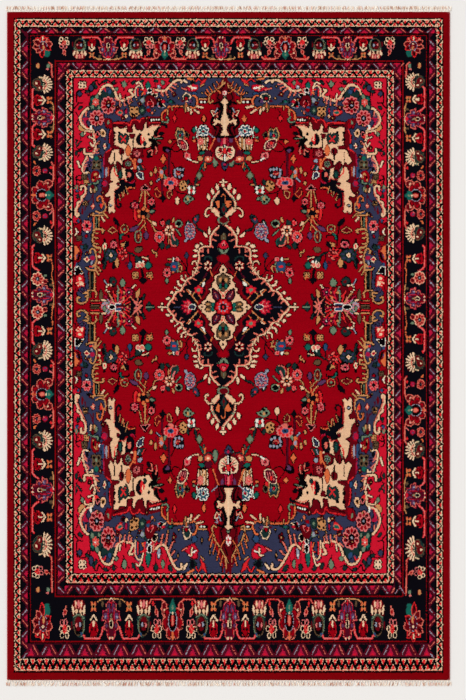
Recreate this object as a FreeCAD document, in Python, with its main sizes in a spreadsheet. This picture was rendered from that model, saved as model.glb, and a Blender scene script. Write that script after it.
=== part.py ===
"""Hand-knotted area rug, modelled as the pieces it is woven, knotted and finished from.

Frame, in millimetres: +X is east across the width, +Y is north along the length, +Z is up.
The origin is the centre of the whole rug, fringes included, on the surface it lies on.

The cotton foundation carries the pile, which is knotted in separate runs: six border bands on
each of the four sides, four corner spandrels, a medallion, two pendants and the red ground.
Overcast selvedges close the long sides. A woven kilim end, a row of knots and a row of
tassels close each short side, and each fringe turns about its own row of knots.
"""
import FreeCAD, Part
import Sketcher
import os

doc = FreeCAD.newDocument("AreaRug")

# ---------------------------------------------------------------- driving dimensions
DIMENSIONS = {
    # overall: the width over the selvedges, and the length of the pile
    "rug_width": 2000.0,
    "pile_length": 3015.0,
    "foundation_thickness": 4.0,
    "pile_height": 8.0,
    # selvedges: a core of bundled warps, overcast with wool
    "selvedge_diameter": 7.0,
    "selvedge_core_diameter": 4.0,
    "overcast_clearance": 0.1,
    # border bands, from the pile's edge inwards; the weaver's tension differs on each side
    "edge_band_west": 26.0,
    "guard_outer_west": 30.0,
    "minor_border_outer_west": 39.0,
    "main_border_west": 120.0,
    "minor_border_inner_west": 45.0,
    "guard_inner_west": 36.0,
    "edge_band_east": 26.0,
    "guard_outer_east": 30.0,
    "minor_border_outer_east": 39.0,
    "main_border_east": 114.0,
    "minor_border_inner_east": 39.0,
    "guard_inner_east": 33.0,
    "edge_band_north": 30.0,
    "guard_outer_north": 36.0,
    "minor_border_outer_north": 36.0,
    "main_border_north": 123.0,
    "minor_border_inner_north": 39.0,
    "guard_inner_north": 36.0,
    "edge_band_south": 33.0,
    "guard_outer_south": 63.0,
    "minor_border_outer_south": 72.0,
    "main_border_south": 213.0,
    "minor_border_inner_south": 48.0,
    "guard_inner_south": 54.0,
    # medallion: its centre, and the corners of one quarter of its stepped outline
    "medallion_centre_across": -22.0,
    "medallion_centre_along": 176.0,
    "medallion_stretch_east": 1.17,
    "medallion_tip_across": 262.0,
    "medallion_barb_across": 220.0,
    "medallion_barb_along": 72.0,
    "medallion_wing_across": 164.0,
    "medallion_wing_along": 132.0,
    "medallion_waist_across": 119.0,
    "medallion_waist_along": 177.0,
    "medallion_shoulder_across": 115.0,
    "medallion_shoulder_along": 270.0,
    "medallion_neck_across": 62.0,
    "medallion_neck_along": 282.0,
    "medallion_brow_across": 58.0,
    "medallion_brow_along": 328.0,
    "medallion_tip_along": 375.0,
    # pendants: the ground between each one and the medallion's tip, how far on it is
    # broadest, its length and its width
    "pendant_gap": 15.0,
    "pendant_broadest": 80.0,
    "pendant_length": 195.0,
    "pendant_half_width": 75.0,
    # spandrels: how deep their arms are, the corners of their inner edge from the field's
    # corner, and the gaps that part them on the medallion's two axes
    "spandrel_arm": 95.0,
    "spandrel_shoulder_across": 452.0,
    "spandrel_shoulder_along": 190.0,
    "spandrel_heart_across": 345.0,
    "spandrel_heart_along": 350.0,
    "spandrel_foot_across": 199.0,
    "spandrel_foot_along": 610.0,
    "spandrel_ankle_along": 720.0,
    "spandrel_stretch_east": 1.09,
    "spandrel_stretch_south": 1.16,
    "spandrel_gap_across": 34.0,
    "spandrel_gap_along": 45.0,
    # ends: the kilim strip, then knots on the hinge line, then tassels just above the floor
    "kilim_width": 6.0,
    "knot_diameter": 5.0,
    "knot_pitch": 12.5,
    "knot_gap": 0.3,
    "floor_gap": 0.3,
    "fringe_overhang": 4.0,
    "tassel_seat_gap": 0.1,
    "tassel_length": 16.6,
    "tassel_root_diameter": 4.0,
    "tassel_tip_diameter": 5.0,
}

sheet = doc.addObject("Spreadsheet::Sheet", "Dimensions")
for row, (alias, value) in enumerate(DIMENSIONS.items(), start=1):
    sheet.set(f"A{row}", alias)
    sheet.set(f"B{row}", str(value))
    sheet.setAlias(f"B{row}", alias)
doc.recompute()

BANDS = ("edge_band", "guard_outer", "minor_border_outer", "main_border",
         "minor_border_inner", "guard_inner")


def size(alias):
    """The number that a cell of the sheet holds, for shapes made in code."""
    return float(sheet.get(alias))


def cell(alias):
    """The expression that reads one cell of the sheet."""
    return f"Dimensions.{alias}"


def total(*terms):
    """The expression for a sum, as one term in brackets."""
    return "(" + " + ".join(terms) + ")"


def less(first, *others):
    """The expression for the first term less the others, as one term in brackets."""
    return "(" + " - ".join((first,) + others) + ")"


def times(first, second):
    """The expression for a product."""
    return f"({first} * {second})"


def negative(term):
    """The expression for a term with its sign turned."""
    return f"(-1 * {term})"


def band_cells(side, count):
    """The widths of the first bands of one side, from the pile's edge inwards."""
    return [cell(f"{band}_{side}") for band in BANDS[:count]]


# ---------------------------------------------------------------- lines that pieces share
half_width = f"({cell('rug_width')} / 2)"
half_pile = f"({cell('pile_length')} / 2)"
pile_bottom = cell("foundation_thickness")
pile_east = less(half_width, cell("selvedge_diameter"))
pile_west = negative(pile_east)


def line_in_from(side, count):
    """The expression for the line that lies a number of bands in from one side's pile edge."""
    outward = {"west": pile_east, "east": pile_east, "north": half_pile, "south": half_pile}
    line = less(outward[side], *band_cells(side, count))
    return line if side in ("east", "north") else negative(line)


field = {side: line_in_from(side, len(BANDS)) for side in ("west", "east", "north", "south")}
axis_across = cell("medallion_centre_across")
axis_along = cell("medallion_centre_along")


# ---------------------------------------------------------------- ways to make a piece
def add_slab(label, west, east, south, north, bottom, thickness):
    """A rectangular piece between four lines."""
    slab = doc.addObject("Part::Box", label)
    slab.Label = label
    slab.setExpression("Length", less(east, west))
    slab.setExpression("Width", less(north, south))
    slab.setExpression("Height", thickness)
    slab.setExpression("Placement.Base.x", west)
    slab.setExpression("Placement.Base.y", south)
    slab.setExpression("Placement.Base.z", bottom)
    return slab


def own_plane(body, role):
    """One of a body's own origin planes."""
    return next(plane for plane in body.Origin.OriginFeatures if plane.Role == role)


def place_now(corner):
    """The two coordinates of a corner, worked out from the sheet as it stands."""
    return [float(sheet.evalExpression(expression)) for expression in corner]


def add_outlined_slab(label, corners, bottom, thickness):
    """A piece of even thickness whose outline runs straight from corner to corner."""
    body = doc.addObject("PartDesign::Body", label)
    body.Label = label
    outline = body.newObject("Sketcher::SketchObject", f"{label}_outline")
    outline.AttachmentSupport = [(own_plane(body, "XY_Plane"), "")]
    outline.MapMode = "FlatFace"
    outline.setExpression("AttachmentOffset.Base.z", bottom)
    places = [place_now(corner) for corner in corners]
    for index, start in enumerate(places):
        end = places[(index + 1) % len(places)]
        outline.addGeometry(Part.LineSegment(FreeCAD.Vector(*start), FreeCAD.Vector(*end)))
    for index in range(len(places)):
        following = (index + 1) % len(places)
        outline.addConstraint(Sketcher.Constraint("Coincident", index, 2, following, 1))
    for index, corner in enumerate(corners):
        for direction, expression, value in zip(("DistanceX", "DistanceY"), corner, places[index]):
            distance = Sketcher.Constraint(direction, -1, 1, index, 1, value)
            number = outline.addConstraint(distance)
            outline.setExpression(f"Constraints[{number}]", expression)
    pad = body.newObject("PartDesign::Pad", f"{label}_pad")
    pad.Profile = outline
    pad.setExpression("Length", thickness)
    body.Tip = pad
    return body


def add_rod(label, diameter, across, south, length, height):
    """A round rod that runs from south to north."""
    rod = doc.addObject("Part::Cylinder", label)
    rod.Label = label
    rod.Placement.Rotation = FreeCAD.Rotation(FreeCAD.Vector(1, 0, 0), -90)
    rod.setExpression("Radius", f"{diameter} / 2")
    rod.setExpression("Height", length)
    rod.setExpression("Placement.Base.x", across)
    rod.setExpression("Placement.Base.y", south)
    rod.setExpression("Placement.Base.z", height)
    return rod


def add_group(label, solids):
    """Identical small pieces, kept as separate solids of one sub-part."""
    group = doc.addObject("Part::Feature", label)
    group.Label = label
    group.Shape = Part.makeCompound(solids)
    return group


# ---------------------------------------------------------------- foundation and finished edges
def make_foundation():
    """The cotton warps and wefts, under the whole pile."""
    return [add_slab("foundation_weave", pile_west, pile_east, negative(half_pile), half_pile,
                     "0", cell("foundation_thickness"))]


def make_selvedge(side):
    """One long side's finish: a core of bundled warps inside its overcast wool."""
    diameter = cell("selvedge_diameter")
    radius = f"({diameter} / 2)"
    end = total(half_pile, cell("kilim_width"))
    centre = less(half_width, radius)
    across = centre if side == "east" else negative(centre)
    length = times("2", end)
    core = add_rod(f"selvedge_core_{side}", cell("selvedge_core_diameter"), across,
                   negative(end), length, radius)
    outside = add_rod(f"overcast_{side}", diameter, across, negative(end), length, radius)
    bore_diameter = total(cell("selvedge_core_diameter"), times("2", cell("overcast_clearance")))
    bore = add_rod(f"bore_{side}", bore_diameter, across, negative(end), length, radius)
    wrap = doc.addObject("Part::Cut", f"selvedge_wrap_{side}")
    wrap.Label = f"selvedge_wrap_{side}"
    wrap.Base = outside
    wrap.Tool = bore
    return [core, wrap]


def make_kilim_end(side):
    """The narrow strip of plain weave beyond the pile at one short side."""
    outer = total(half_pile, cell("kilim_width"))
    south, north = (half_pile, outer) if side == "north" else (negative(outer), negative(half_pile))
    return [add_slab(f"kilim_end_{side}", pile_west, pile_east, south, north,
                     "0", cell("foundation_thickness"))]


# ---------------------------------------------------------------- pile
def make_border_band(band, number):
    """One band of the border: full-width runs at the ends, and side runs between them."""
    outer = {side: line_in_from(side, number) for side in field}
    inner = {side: line_in_from(side, number + 1) for side in field}
    runs = {
        "north": (outer["west"], outer["east"], inner["north"], outer["north"]),
        "south": (outer["west"], outer["east"], outer["south"], inner["south"]),
        "west": (outer["west"], inner["west"], inner["south"], inner["north"]),
        "east": (inner["east"], outer["east"], inner["south"], inner["north"]),
    }
    return [add_slab(f"{band}_{side}", *lines, pile_bottom, cell("pile_height"))
            for side, lines in runs.items()]


def add_pile(label, corners):
    """A run of pile with an outline of its own."""
    return add_outlined_slab(label, corners, pile_bottom, cell("pile_height"))


def make_medallion():
    """The stepped central figure, a little wider to the east of its axis."""
    quarter = [
        (cell("medallion_tip_across"), "0"),
        *[(cell(f"medallion_{place}_across"), cell(f"medallion_{place}_along"))
          for place in ("barb", "wing", "waist", "shoulder", "neck", "brow")],
        ("0", cell("medallion_tip_along")),
    ]
    stretch = cell("medallion_stretch_east")
    corners = []
    for east, north in ((True, True), (False, True), (False, False), (True, False)):
        turn = quarter[:-1] if east == north else quarter[:0:-1]
        for across, along in turn:
            x = total(axis_across, times(stretch, across)) if east else less(axis_across, across)
            y = total(axis_along, along) if north else less(axis_along, along)
            corners.append((x, y))
    return [add_pile("medallion", corners)]


def make_pendant(side):
    """The small figure beyond one end of the medallion, on its long axis."""
    half = cell("pendant_half_width")
    reach = total if side == "north" else less
    near = reach(axis_along, total(cell("medallion_tip_along"), cell("pendant_gap")))
    broad, far = (reach(near, cell(place)) for place in ("pendant_broadest", "pendant_length"))
    corners = [(axis_across, near), (total(axis_across, half), broad),
               (axis_across, far), (less(axis_across, half), broad)]
    return [add_pile(f"pendant_{side}", corners)]


def make_spandrel(side_along, side_across):
    """One corner of the field, with an arm along each of its two edges."""
    into_east = side_across == "west"
    into_north = side_along == "south"
    corner_across, corner_along = field[side_across], field[side_along]
    stretch_across = cell("spandrel_stretch_east") if side_across == "east" else "1"
    stretch_along = cell("spandrel_stretch_south") if side_along == "south" else "1"
    arm = cell("spandrel_arm")
    end_across = less(axis_across, cell("spandrel_gap_across")) if into_east \
        else total(axis_across, cell("spandrel_gap_across"))
    end_along = less(axis_along, cell("spandrel_gap_along")) if into_north \
        else total(axis_along, cell("spandrel_gap_along"))

    def across(distance):
        """The line that lies a distance into the field from its west or east edge."""
        return total(corner_across, distance) if into_east else less(corner_across, distance)

    def along(distance):
        """The line that lies a distance into the field from its south or north edge."""
        return total(corner_along, distance) if into_north else less(corner_along, distance)

    inner_edge = [(across(times(stretch_across, cell(f"spandrel_{place}_across"))),
                   along(times(stretch_along, cell(f"spandrel_{place}_along"))))
                  for place in ("shoulder", "heart", "foot")]
    ankle = (across(arm), along(times(stretch_along, cell("spandrel_ankle_along"))))
    corners = [(corner_across, corner_along), (end_across, corner_along),
               (end_across, along(arm)), *inner_edge, ankle,
               (across(arm), end_along), (corner_across, end_along)]
    return [add_pile(f"spandrel_{side_along}{side_across}", corners)]


def make_ground(side, figures):
    """The open red ground of one half of the field, around the figures that lie in it."""
    west, east = (field["west"], axis_across) if side == "west" else (axis_across, field["east"])
    whole = add_slab(f"half_field_{side}", west, east, field["south"], field["north"],
                     pile_bottom, cell("pile_height"))
    joined = doc.addObject("Part::MultiFuse", f"figures_{side}")
    joined.Shapes = figures
    ground = doc.addObject("Part::Cut", f"field_ground_{side}")
    ground.Label = f"field_ground_{side}"
    ground.Base = whole
    ground.Tool = joined
    return [ground]


# ---------------------------------------------------------------- fringes
knot_radius = size("knot_diameter") / 2
hinge_distance = size("pile_length") / 2 + size("kilim_width") + size("knot_gap") + knot_radius
hinge_height = size("floor_gap") + knot_radius


def knot_places():
    """The places across the rug where a knot ties off a bundle of warps."""
    row = size("rug_width") + 2 * size("fringe_overhang") - size("tassel_tip_diameter")
    spaces = int(row // size("knot_pitch"))
    return [row * (number / spaces - 0.5) for number in range(spaces + 1)]


def make_fringe(side):
    """One fringe: a ball knot on each bundle of warps, and the tassel that hangs from it."""
    outward = 1 if side == "north" else -1
    direction = FreeCAD.Vector(0, outward, 0)
    tassel_start = outward * (hinge_distance + knot_radius + size("tassel_seat_gap"))
    knots = []
    tassels = []
    for place in knot_places():
        centre = FreeCAD.Vector(place, outward * hinge_distance, hinge_height)
        knots.append(Part.makeSphere(knot_radius, centre))
        root = FreeCAD.Vector(place, tassel_start, hinge_height)
        tassels.append(Part.makeCone(size("tassel_root_diameter") / 2,
                                     size("tassel_tip_diameter") / 2,
                                     size("tassel_length"), root, direction))
    return [add_group(f"fringe_knots_{side}", knots), add_group(f"fringe_tassels_{side}", tassels)]


# ---------------------------------------------------------------- the rug
pieces = make_foundation()
for side in ("west", "east"):
    pieces += make_selvedge(side)
for side in ("north", "south"):
    pieces += make_kilim_end(side)
for number, band in enumerate(BANDS):
    pieces += make_border_band(band, number)

figures = make_medallion()
for side_along in ("north", "south"):
    figures += make_pendant(side_along)
    for side_across in ("west", "east"):
        figures += make_spandrel(side_along, side_across)
pieces += figures
for side in ("west", "east"):
    pieces += make_ground(side, figures)
for side in ("north", "south"):
    pieces += make_fringe(side)
doc.recompute()

# ---------------------------------------------------------------- check, then export
for item in doc.Objects:
    faults = {"Invalid", "Error"} & set(item.State)
    if faults:
        raise RuntimeError(f"{item.Label} did not build: {sorted(faults)}")
for piece in pieces:
    if piece.Shape.isNull() or not piece.Shape.isValid():
        raise RuntimeError(f"{piece.Label} has no sound shape")

os.makedirs("parts", exist_ok=True)
for piece in pieces:
    piece.Shape.exportStep(f"parts/{piece.Label}.step")
    print(f"{piece.Label}: {len(piece.Shape.Solids)} solids, {piece.Shape.Volume / 1000:.1f} cm3")
print(len(pieces), "sub-parts")
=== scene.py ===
"""The area rug: a hand-knotted wool carpet with a medallion, scrolled corners and a wide border.

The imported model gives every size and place. The pattern is drawn knot by knot, as a weaver's
drawing is, with a few hundred outlines, and the drawing dyes a mesh that has one face for each
knot of the pile. Everything is in metres: x runs across the rug, y along it, and z up.
"""
import logging
import math
from dataclasses import dataclass, field
from enum import Enum
from typing import Callable, Optional, Self, Sequence, Union

import bpy
import numpy as np
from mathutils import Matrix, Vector


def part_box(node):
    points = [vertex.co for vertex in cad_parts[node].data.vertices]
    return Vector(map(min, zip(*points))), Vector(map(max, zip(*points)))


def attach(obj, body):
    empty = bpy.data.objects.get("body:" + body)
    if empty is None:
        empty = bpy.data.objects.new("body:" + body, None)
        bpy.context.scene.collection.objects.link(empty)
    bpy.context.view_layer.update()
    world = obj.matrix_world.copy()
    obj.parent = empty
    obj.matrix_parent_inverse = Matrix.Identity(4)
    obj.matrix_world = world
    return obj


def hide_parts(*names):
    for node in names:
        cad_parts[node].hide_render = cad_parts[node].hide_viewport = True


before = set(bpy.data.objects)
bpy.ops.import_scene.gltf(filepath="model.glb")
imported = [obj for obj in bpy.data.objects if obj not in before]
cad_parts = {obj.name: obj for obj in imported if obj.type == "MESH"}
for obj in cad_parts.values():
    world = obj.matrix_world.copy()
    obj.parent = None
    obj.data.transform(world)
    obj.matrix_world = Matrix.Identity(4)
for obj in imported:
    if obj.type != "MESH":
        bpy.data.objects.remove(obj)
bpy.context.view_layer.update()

Point = tuple[float, float]
Points = Union[Sequence[float], Sequence[Point], np.ndarray]
LOG = logging.getLogger("area_rug")
# in metres: how far apart the pile's knots are, and how near two places are the same
KNOT = 0.003
HAIR = 0.0001


class Dye(Enum):
    """The dyes of the wool, each as the colour it shows in daylight."""

    RED = (137, 1, 15)
    CRIMSON = (188, 19, 41)
    WINE = (92, 4, 14)
    BURGUNDY = (74, 9, 26)
    BAND = (117, 2, 9)
    SCARLET = (204, 34, 38)
    CORAL = (204, 100, 84)
    PINK = (204, 102, 100)
    ROSE = (160, 18, 52)
    PALE = (220, 184, 150)
    CREAM = (216, 172, 136)
    WHITE = (216, 210, 196)
    TAN = (184, 126, 78)
    ORANGE = (202, 98, 56)
    NAVY = (8, 7, 13)
    BLACK = (5, 3, 5)
    SLATE = (46, 48, 72)
    BLUE = (38, 64, 98)
    MIST = (136, 138, 152)
    TEAL = (20, 88, 76)
    FOREST = (22, 42, 40)
    SAGE = (100, 118, 94)
    PURPLE = (84, 48, 82)
    BROWN = (88, 66, 46)

    @property
    def place(self) -> int:
        """The dye's place in the table of dyes.

        Returns:
            The place, counted from nought.
        """
        return list(Dye).index(self)


(RED, CRIMSON, WINE, BURGUNDY, BAND, SCARLET, CORAL, PINK, ROSE, PALE, CREAM, WHITE, TAN, ORANGE,
 NAVY, BLACK, SLATE, BLUE, MIST, TEAL, FOREST, SAGE, PURPLE, BROWN) = Dye


def crossed(outline: np.ndarray, across: np.ndarray, along: np.ndarray) -> np.ndarray:
    """Which spots lie inside a closed outline; one on a shared edge is in one side only.

    Args:
        outline: The outline's corners.
        across: How far across each spot is.
        along: How far along each spot is.

    Returns:
        Whether each spot is inside.
    """
    inside = np.zeros(across.shape, dtype=bool)
    for (x0, y0), (x1, y1) in zip(outline, np.roll(outline, -1, axis=0)):
        if y0 != y1:
            level = (along > min(y0, y1)) & (along <= max(y0, y1))
            inside ^= level & (across < x0 + (along - y0) * (x1 - x0) / (y1 - y0))
    return inside


@dataclass
class Cartoon:
    """The weaver's drawing: one dye for every knot of the pile."""

    columns: int
    rows: int

    def __post_init__(self) -> None:
        """Start with a plain red drawing."""
        self.knots = np.full((self.rows, self.columns), RED.place, dtype=np.uint8)
        self.places = {dye: number for number, dye in enumerate(Dye)}

    def window(self, low: np.ndarray, high: np.ndarray) -> Optional[tuple]:
        """The knots between two corners, and where their middles are.

        Args:
            low: The least across and along, in knots.
            high: The greatest across and along, in knots.

        Returns:
            The window's knots and the places of their middles, or None when it is empty.
        """
        left, top = np.maximum(np.floor(low).astype(int), 0)
        right, bottom = np.minimum(np.ceil(high).astype(int) + 1, (self.columns, self.rows))
        if left >= right or top >= bottom:
            return None
        middles = np.meshgrid(np.arange(left, right) + 0.5, np.arange(top, bottom) + 0.5)
        return self.knots[top:bottom, left:right], middles[0], middles[1]

    def fill(self, outline: np.ndarray, dye: Dye) -> None:
        """Dye every knot inside a closed outline.

        Args:
            outline: Its corners, in knots from the drawing's top left.
            dye: The dye.
        """
        view = self.window(outline.min(axis=0), outline.max(axis=0))
        if view is None:
            return
        knots, across, along = view
        knots[crossed(outline, across, along)] = self.places[dye]

    def stroke(self, line: np.ndarray, width: float, dye: Dye) -> None:
        """Dye every knot that lies close to a line.

        Args:
            line: The line's corners, in knots from the drawing's top left.
            width: The width of the stroke, in knots.
            dye: The dye.
        """
        reach = width / 2
        for start, end in zip(line[:-1], line[1:]):
            view = self.window(np.minimum(start, end) - reach, np.maximum(start, end) + reach)
            if view is None:
                continue
            knots, across, along = view
            run = end - start
            length = float(run @ run) or 1.0
            share = np.clip(((across - start[0]) * run[0] + (along - start[1]) * run[1]) / length,
                            0, 1)
            away = np.hypot(across - start[0] - share * run[0], along - start[1] - share * run[1])
            knots[away <= reach] = self.places[dye]

    def contour(self, ground: Dye, ink: Dye, kept: Sequence[Dye]) -> None:
        """Ink the ground round every shape that stands on it, as a weaver does.

        Args:
            ground: The dye of the ground.
            ink: The dye of the outline.
            kept: The dyes that need no outline.
        """
        mask = self.knots == ground.place
        wide = spread(~spread(~mask, 2), 3) & mask
        shapes = ~np.isin(self.knots, [dye.place for dye in (ground, *kept)])
        ragged = np.random.default_rng(17).random(mask.shape) < 0.55
        self.knots[wide & (spread(shapes, 1) | (spread(shapes, 2) & ragged))] = ink.place


def spread(mask: np.ndarray, steps: int) -> np.ndarray:
    """Grow a mask along and across.

    Args:
        mask: The mask.
        steps: By how many knots it grows.

    Returns:
        The grown mask.
    """
    for _ in range(steps):
        grown = mask.copy()
        grown[1:] |= mask[:-1]
        grown[:-1] |= mask[1:]
        grown[:, 1:] |= mask[:, :-1]
        grown[:, :-1] |= mask[:, 1:]
        mask = grown
    return mask


class Mark(Enum):
    """The marks that a pen makes, each with the name of the pen's method for it."""

    LINE = "line"
    BAR = "bar"
    OVAL = "oval"
    SHAPE = "shape"
    BLOB = "blob"
    LEAF = "leaf"
    BUD = "bud"
    ROSETTE = "rosette"
    CROSS = "quatrefoil"
    BEADS = "beads"


LINE, BAR, OVAL, SHAPE, BLOB, LEAF, BUD, ROSETTE, CROSS, BEADS = Mark


def spots(points: Points) -> np.ndarray:
    """Spots on a drawing, from pairs or from a plain run of numbers: across, along, across..."""
    return np.array(points, dtype=float).reshape(-1, 2)


def smooth(points: np.ndarray, closed: bool) -> np.ndarray:
    """A smooth curve through points.

    Args:
        points: The points that the curve passes through.
        closed: Whether it returns to its first point.

    Returns:
        The curve as many short straight runs.
    """
    if closed:
        ring = np.vstack([points[-1:], points, points[:2]])
    else:
        ring = np.vstack([2 * points[:1] - points[1:2], points, 2 * points[-1:] - points[-2:-1]])
    share = np.linspace(0, 1, 7)[:-1, None]
    runs = []
    for a, b, c, d in zip(ring[:-3], ring[1:-2], ring[2:-1], ring[3:]):
        runs.append(0.5 * (2 * b + (c - a) * share + (2 * a - 5 * b + 4 * c - d) * share ** 2
                           + (3 * b - a - 3 * c + d) * share ** 3))
    return np.vstack(runs + ([] if closed else [points[-1:]]))


@dataclass(frozen=True)
class Pen:
    """A way to draw on a cartoon from one origin, scale and turn."""

    cartoon: Cartoon
    place: Callable[[np.ndarray], np.ndarray]

    def at(self, across: float, along: float, turn: float = 0, size: float = 1,
           tall: float = 1) -> Self:
        """A pen with an origin of its own on this pen's drawing.

        Args:
            across: The new origin's distance across.
            along: The new origin's distance along.
            turn: How far the new pen is turned, in degrees clockwise.
            size: How large the new pen draws; a negative one mirrors across.
            tall: How much longer than wide it draws.

        Returns:
            The new pen.
        """
        c, s = math.cos(math.radians(turn)), math.sin(math.radians(turn))
        matrix = np.array([[c * size, s * size], [-s * abs(size) * tall, c * abs(size) * tall]])

        def place(points: np.ndarray) -> np.ndarray:
            return self.place(points @ matrix + (across, along))

        return type(self)(self.cartoon, place)

    def draw(self, *rows: tuple) -> None:
        """Make marks one over the other; each row holds a mark and the method's values."""
        for mark, *values in rows:
            getattr(self, mark.value)(*values)

    def shape(self, points: Points, dye: Dye, rim: Optional[Dye] = None,
              band: float = 1) -> None:
        """Fill an outline.

        Args:
            points: The outline's points.
            dye: The dye inside.
            rim: The dye of a line round it, if it has one.
            band: The width of that line.
        """
        outline = self.place(spots(points))
        if rim is not None:
            self.cartoon.stroke(np.vstack([outline, outline[:1]]), 2 * band, rim)
        self.cartoon.fill(outline, dye)

    def blob(self, points: Points, dye: Dye, rim: Optional[Dye] = None,
             band: float = 1) -> None:
        """Fill a smooth outline."""
        self.shape(smooth(spots(points), True), dye, rim, band)

    def bar(self, points: Points, dye: Dye, width: float = 1.5, rim: Optional[Dye] = None,
            band: float = 1) -> None:
        """Draw a line that runs straight from point to point.

        Args:
            points: The line's points.
            dye: The dye of the line.
            width: Its width.
            rim: The dye along both its sides, if it has one.
            band: The width of that dye.
        """
        course = self.place(spots(points))
        if rim is not None:
            self.cartoon.stroke(course, width + 2 * band, rim)
        self.cartoon.stroke(course, width, dye)

    def line(self, points: Points, dye: Dye, width: float = 1.5, rim: Optional[Dye] = None,
             band: float = 1) -> None:
        """Draw a line that is smooth at every point."""
        corners = spots(points)
        self.bar(smooth(corners, False) if len(corners) > 2 else corners, dye, width, rim, band)

    def oval(self, across: float, along: float, half_across: float, half_along: float, dye: Dye,
             rim: Optional[Dye] = None, band: float = 1, turn: float = 0) -> None:
        """Fill an oval.

        Args:
            across: Where its middle is across.
            along: Where its middle is along.
            half_across: Half its width.
            half_along: Half its length.
            dye: The dye inside.
            rim: The dye of a line round it, if it has one.
            band: The width of that line.
            turn: How far it is turned, in degrees clockwise.
        """
        angles = np.linspace(0, 2 * math.pi, 17)[:-1]
        c, s = math.cos(math.radians(turn)), math.sin(math.radians(turn))
        x, y = half_across * np.cos(angles), half_along * np.sin(angles)
        self.shape(np.column_stack([across + c * x - s * y, along + s * x + c * y]), dye, rim,
                   band)


@dataclass(frozen=True)
class MotifPen(Pen):
    """A pen that knows the motifs which the design repeats."""

    def rosette(self, across: float, along: float, half_across: float, half_along: float,
                rim: Dye, petal: Dye, heart: Dye, petals: int = 8,
                edge: Optional[Dye] = None, eye: Optional[Dye] = None) -> None:
        """A round flower: a scalloped rim, petals inside it and a dark heart.

        Args:
            across: Where its middle is across.
            along: Where its middle is along.
            half_across: Half its width.
            half_along: Half its length.
            rim: The dye of its scallops.
            petal: The dye of its petals.
            heart: The dye of its heart.
            petals: How many petals it has.
            edge: The dye round the scallops, if any.
            eye: The dye in the heart, if any.
        """
        pen = self.at(across, along)
        turns = [2 * math.pi * number / petals for number in range(petals)]
        for grow, dye in ((0.24, edge), (0.13, rim)) if edge is not None else ((0.13, rim),):
            for turn in turns:
                pen.oval(0.72 * half_across * math.sin(turn), 0.72 * half_along * math.cos(turn),
                         (0.17 + grow) * half_across + 0.3, (0.17 + grow) * half_along + 0.3, dye)
            if dye is rim:
                pen.oval(0, 0, 0.74 * half_across, 0.74 * half_along, dye)
        for turn in turns:
            pen.oval(0.68 * half_across * math.sin(turn), 0.68 * half_along * math.cos(turn),
                     0.15 * half_across + 0.3, 0.22 * half_along + 0.2, petal,
                     turn=-math.degrees(turn))
        pen.oval(0, 0, 0.4 * half_across, 0.4 * half_along, heart)
        if eye is not None:
            pen.oval(0, 0, 0.12 * half_across + 0.3, 0.12 * half_along + 0.3, eye)

    def leaf(self, across: float, along: float, length: float, width: float, turn: float,
             dye: Dye, rim: Optional[Dye] = BLACK, vein: Optional[Dye] = None,
             band: float = 1) -> None:
        """A pointed leaf, upright until it is turned.

        Args:
            across: Where its middle is across.
            along: Where its middle is along.
            length: Its length.
            width: Its width.
            turn: How far it is turned, in degrees clockwise.
            dye: Its dye.
            rim: The dye of a line round it, if it has one.
            vein: The dye of its vein, if it has one.
            band: The width of the line round it.
        """
        pen = self.at(across, along, turn)
        pen.shape([(0, -length / 2), (width * 0.4, -length / 5), (width / 2, length / 8),
                   (width / 4, length * 0.42), (0, length / 2), (-width / 4, length * 0.42),
                   (-width / 2, length / 8), (-width * 0.4, -length / 5)], dye, rim, band)
        if vein is not None:
            pen.line([(0, -length / 5), (0, length / 4)], vein, max(1, width / 4))

    def bud(self, across: float, along: float, size: float, dye: Dye, rim: Optional[Dye] = BLACK,
            heart: Optional[Dye] = None, turn: float = 0, tall: float = 1.3) -> None:
        """A lozenge-shaped bud.

        Args:
            across: Where its middle is across.
            along: Where its middle is along.
            size: Half its width.
            dye: Its dye.
            rim: The dye of a line round it, if it has one.
            heart: The dye of its heart, if it has one.
            turn: How far it is turned, in degrees clockwise.
            tall: How much longer than wide it is.
        """
        pen = self.at(across, along, turn, size, tall)
        pen.shape((0, -1, 1, 0, 0, 1, -1, 0), dye, rim)
        if heart is not None:
            pen.oval(0, 0, 0.35, 0.35, heart)

    def quatrefoil(self, across: float, along: float, size: float, petal: Dye, spot: Dye,
                   rim: Optional[Dye] = BLACK, tall: float = 1, turn: float = 45,
                   heart: Optional[Dye] = None) -> None:
        """Four petals with a dark spot in each.

        Args:
            across: Where its middle is across.
            along: Where its middle is along.
            size: About half its width.
            petal: The dye of its petals.
            spot: The dye of the spots on them.
            rim: The dye of a line round them, if any.
            tall: How much longer than wide it is.
            turn: The first petal's place, in degrees clockwise.
            heart: The dye of its heart, if it has one.
        """
        pen = self.at(across, along, 0, 1, tall)
        places = [(0.55 * size * math.cos(math.radians(turn + 90 * number)),
                   0.55 * size * math.sin(math.radians(turn + 90 * number)))
                  for number in range(4)]
        for x, y in places:
            pen.oval(x, y, 0.5 * size, 0.5 * size, petal, rim)
        for x, y in places:
            pen.oval(x, y, 0.5 * size, 0.5 * size, petal)
        for x, y in places:
            pen.oval(1.1 * x, 1.1 * y, 0.24 * size, 0.24 * size, spot)
        if heart is not None:
            pen.oval(0, 0, 0.2 * size, 0.2 * size, heart)

    def beads(self, start: Point, end: Point, count: int, size: float, dye: Dye) -> None:
        """A row of beads.

        Args:
            start: The first bead's place.
            end: The last bead's place.
            count: How many there are.
            size: Half a bead's width.
            dye: Their dye.
        """
        for number in range(count):
            share = number / max(count - 1, 1)
            self.oval(start[0] + (end[0] - start[0]) * share,
                      start[1] + (end[1] - start[1]) * share, size, size, dye)


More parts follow.
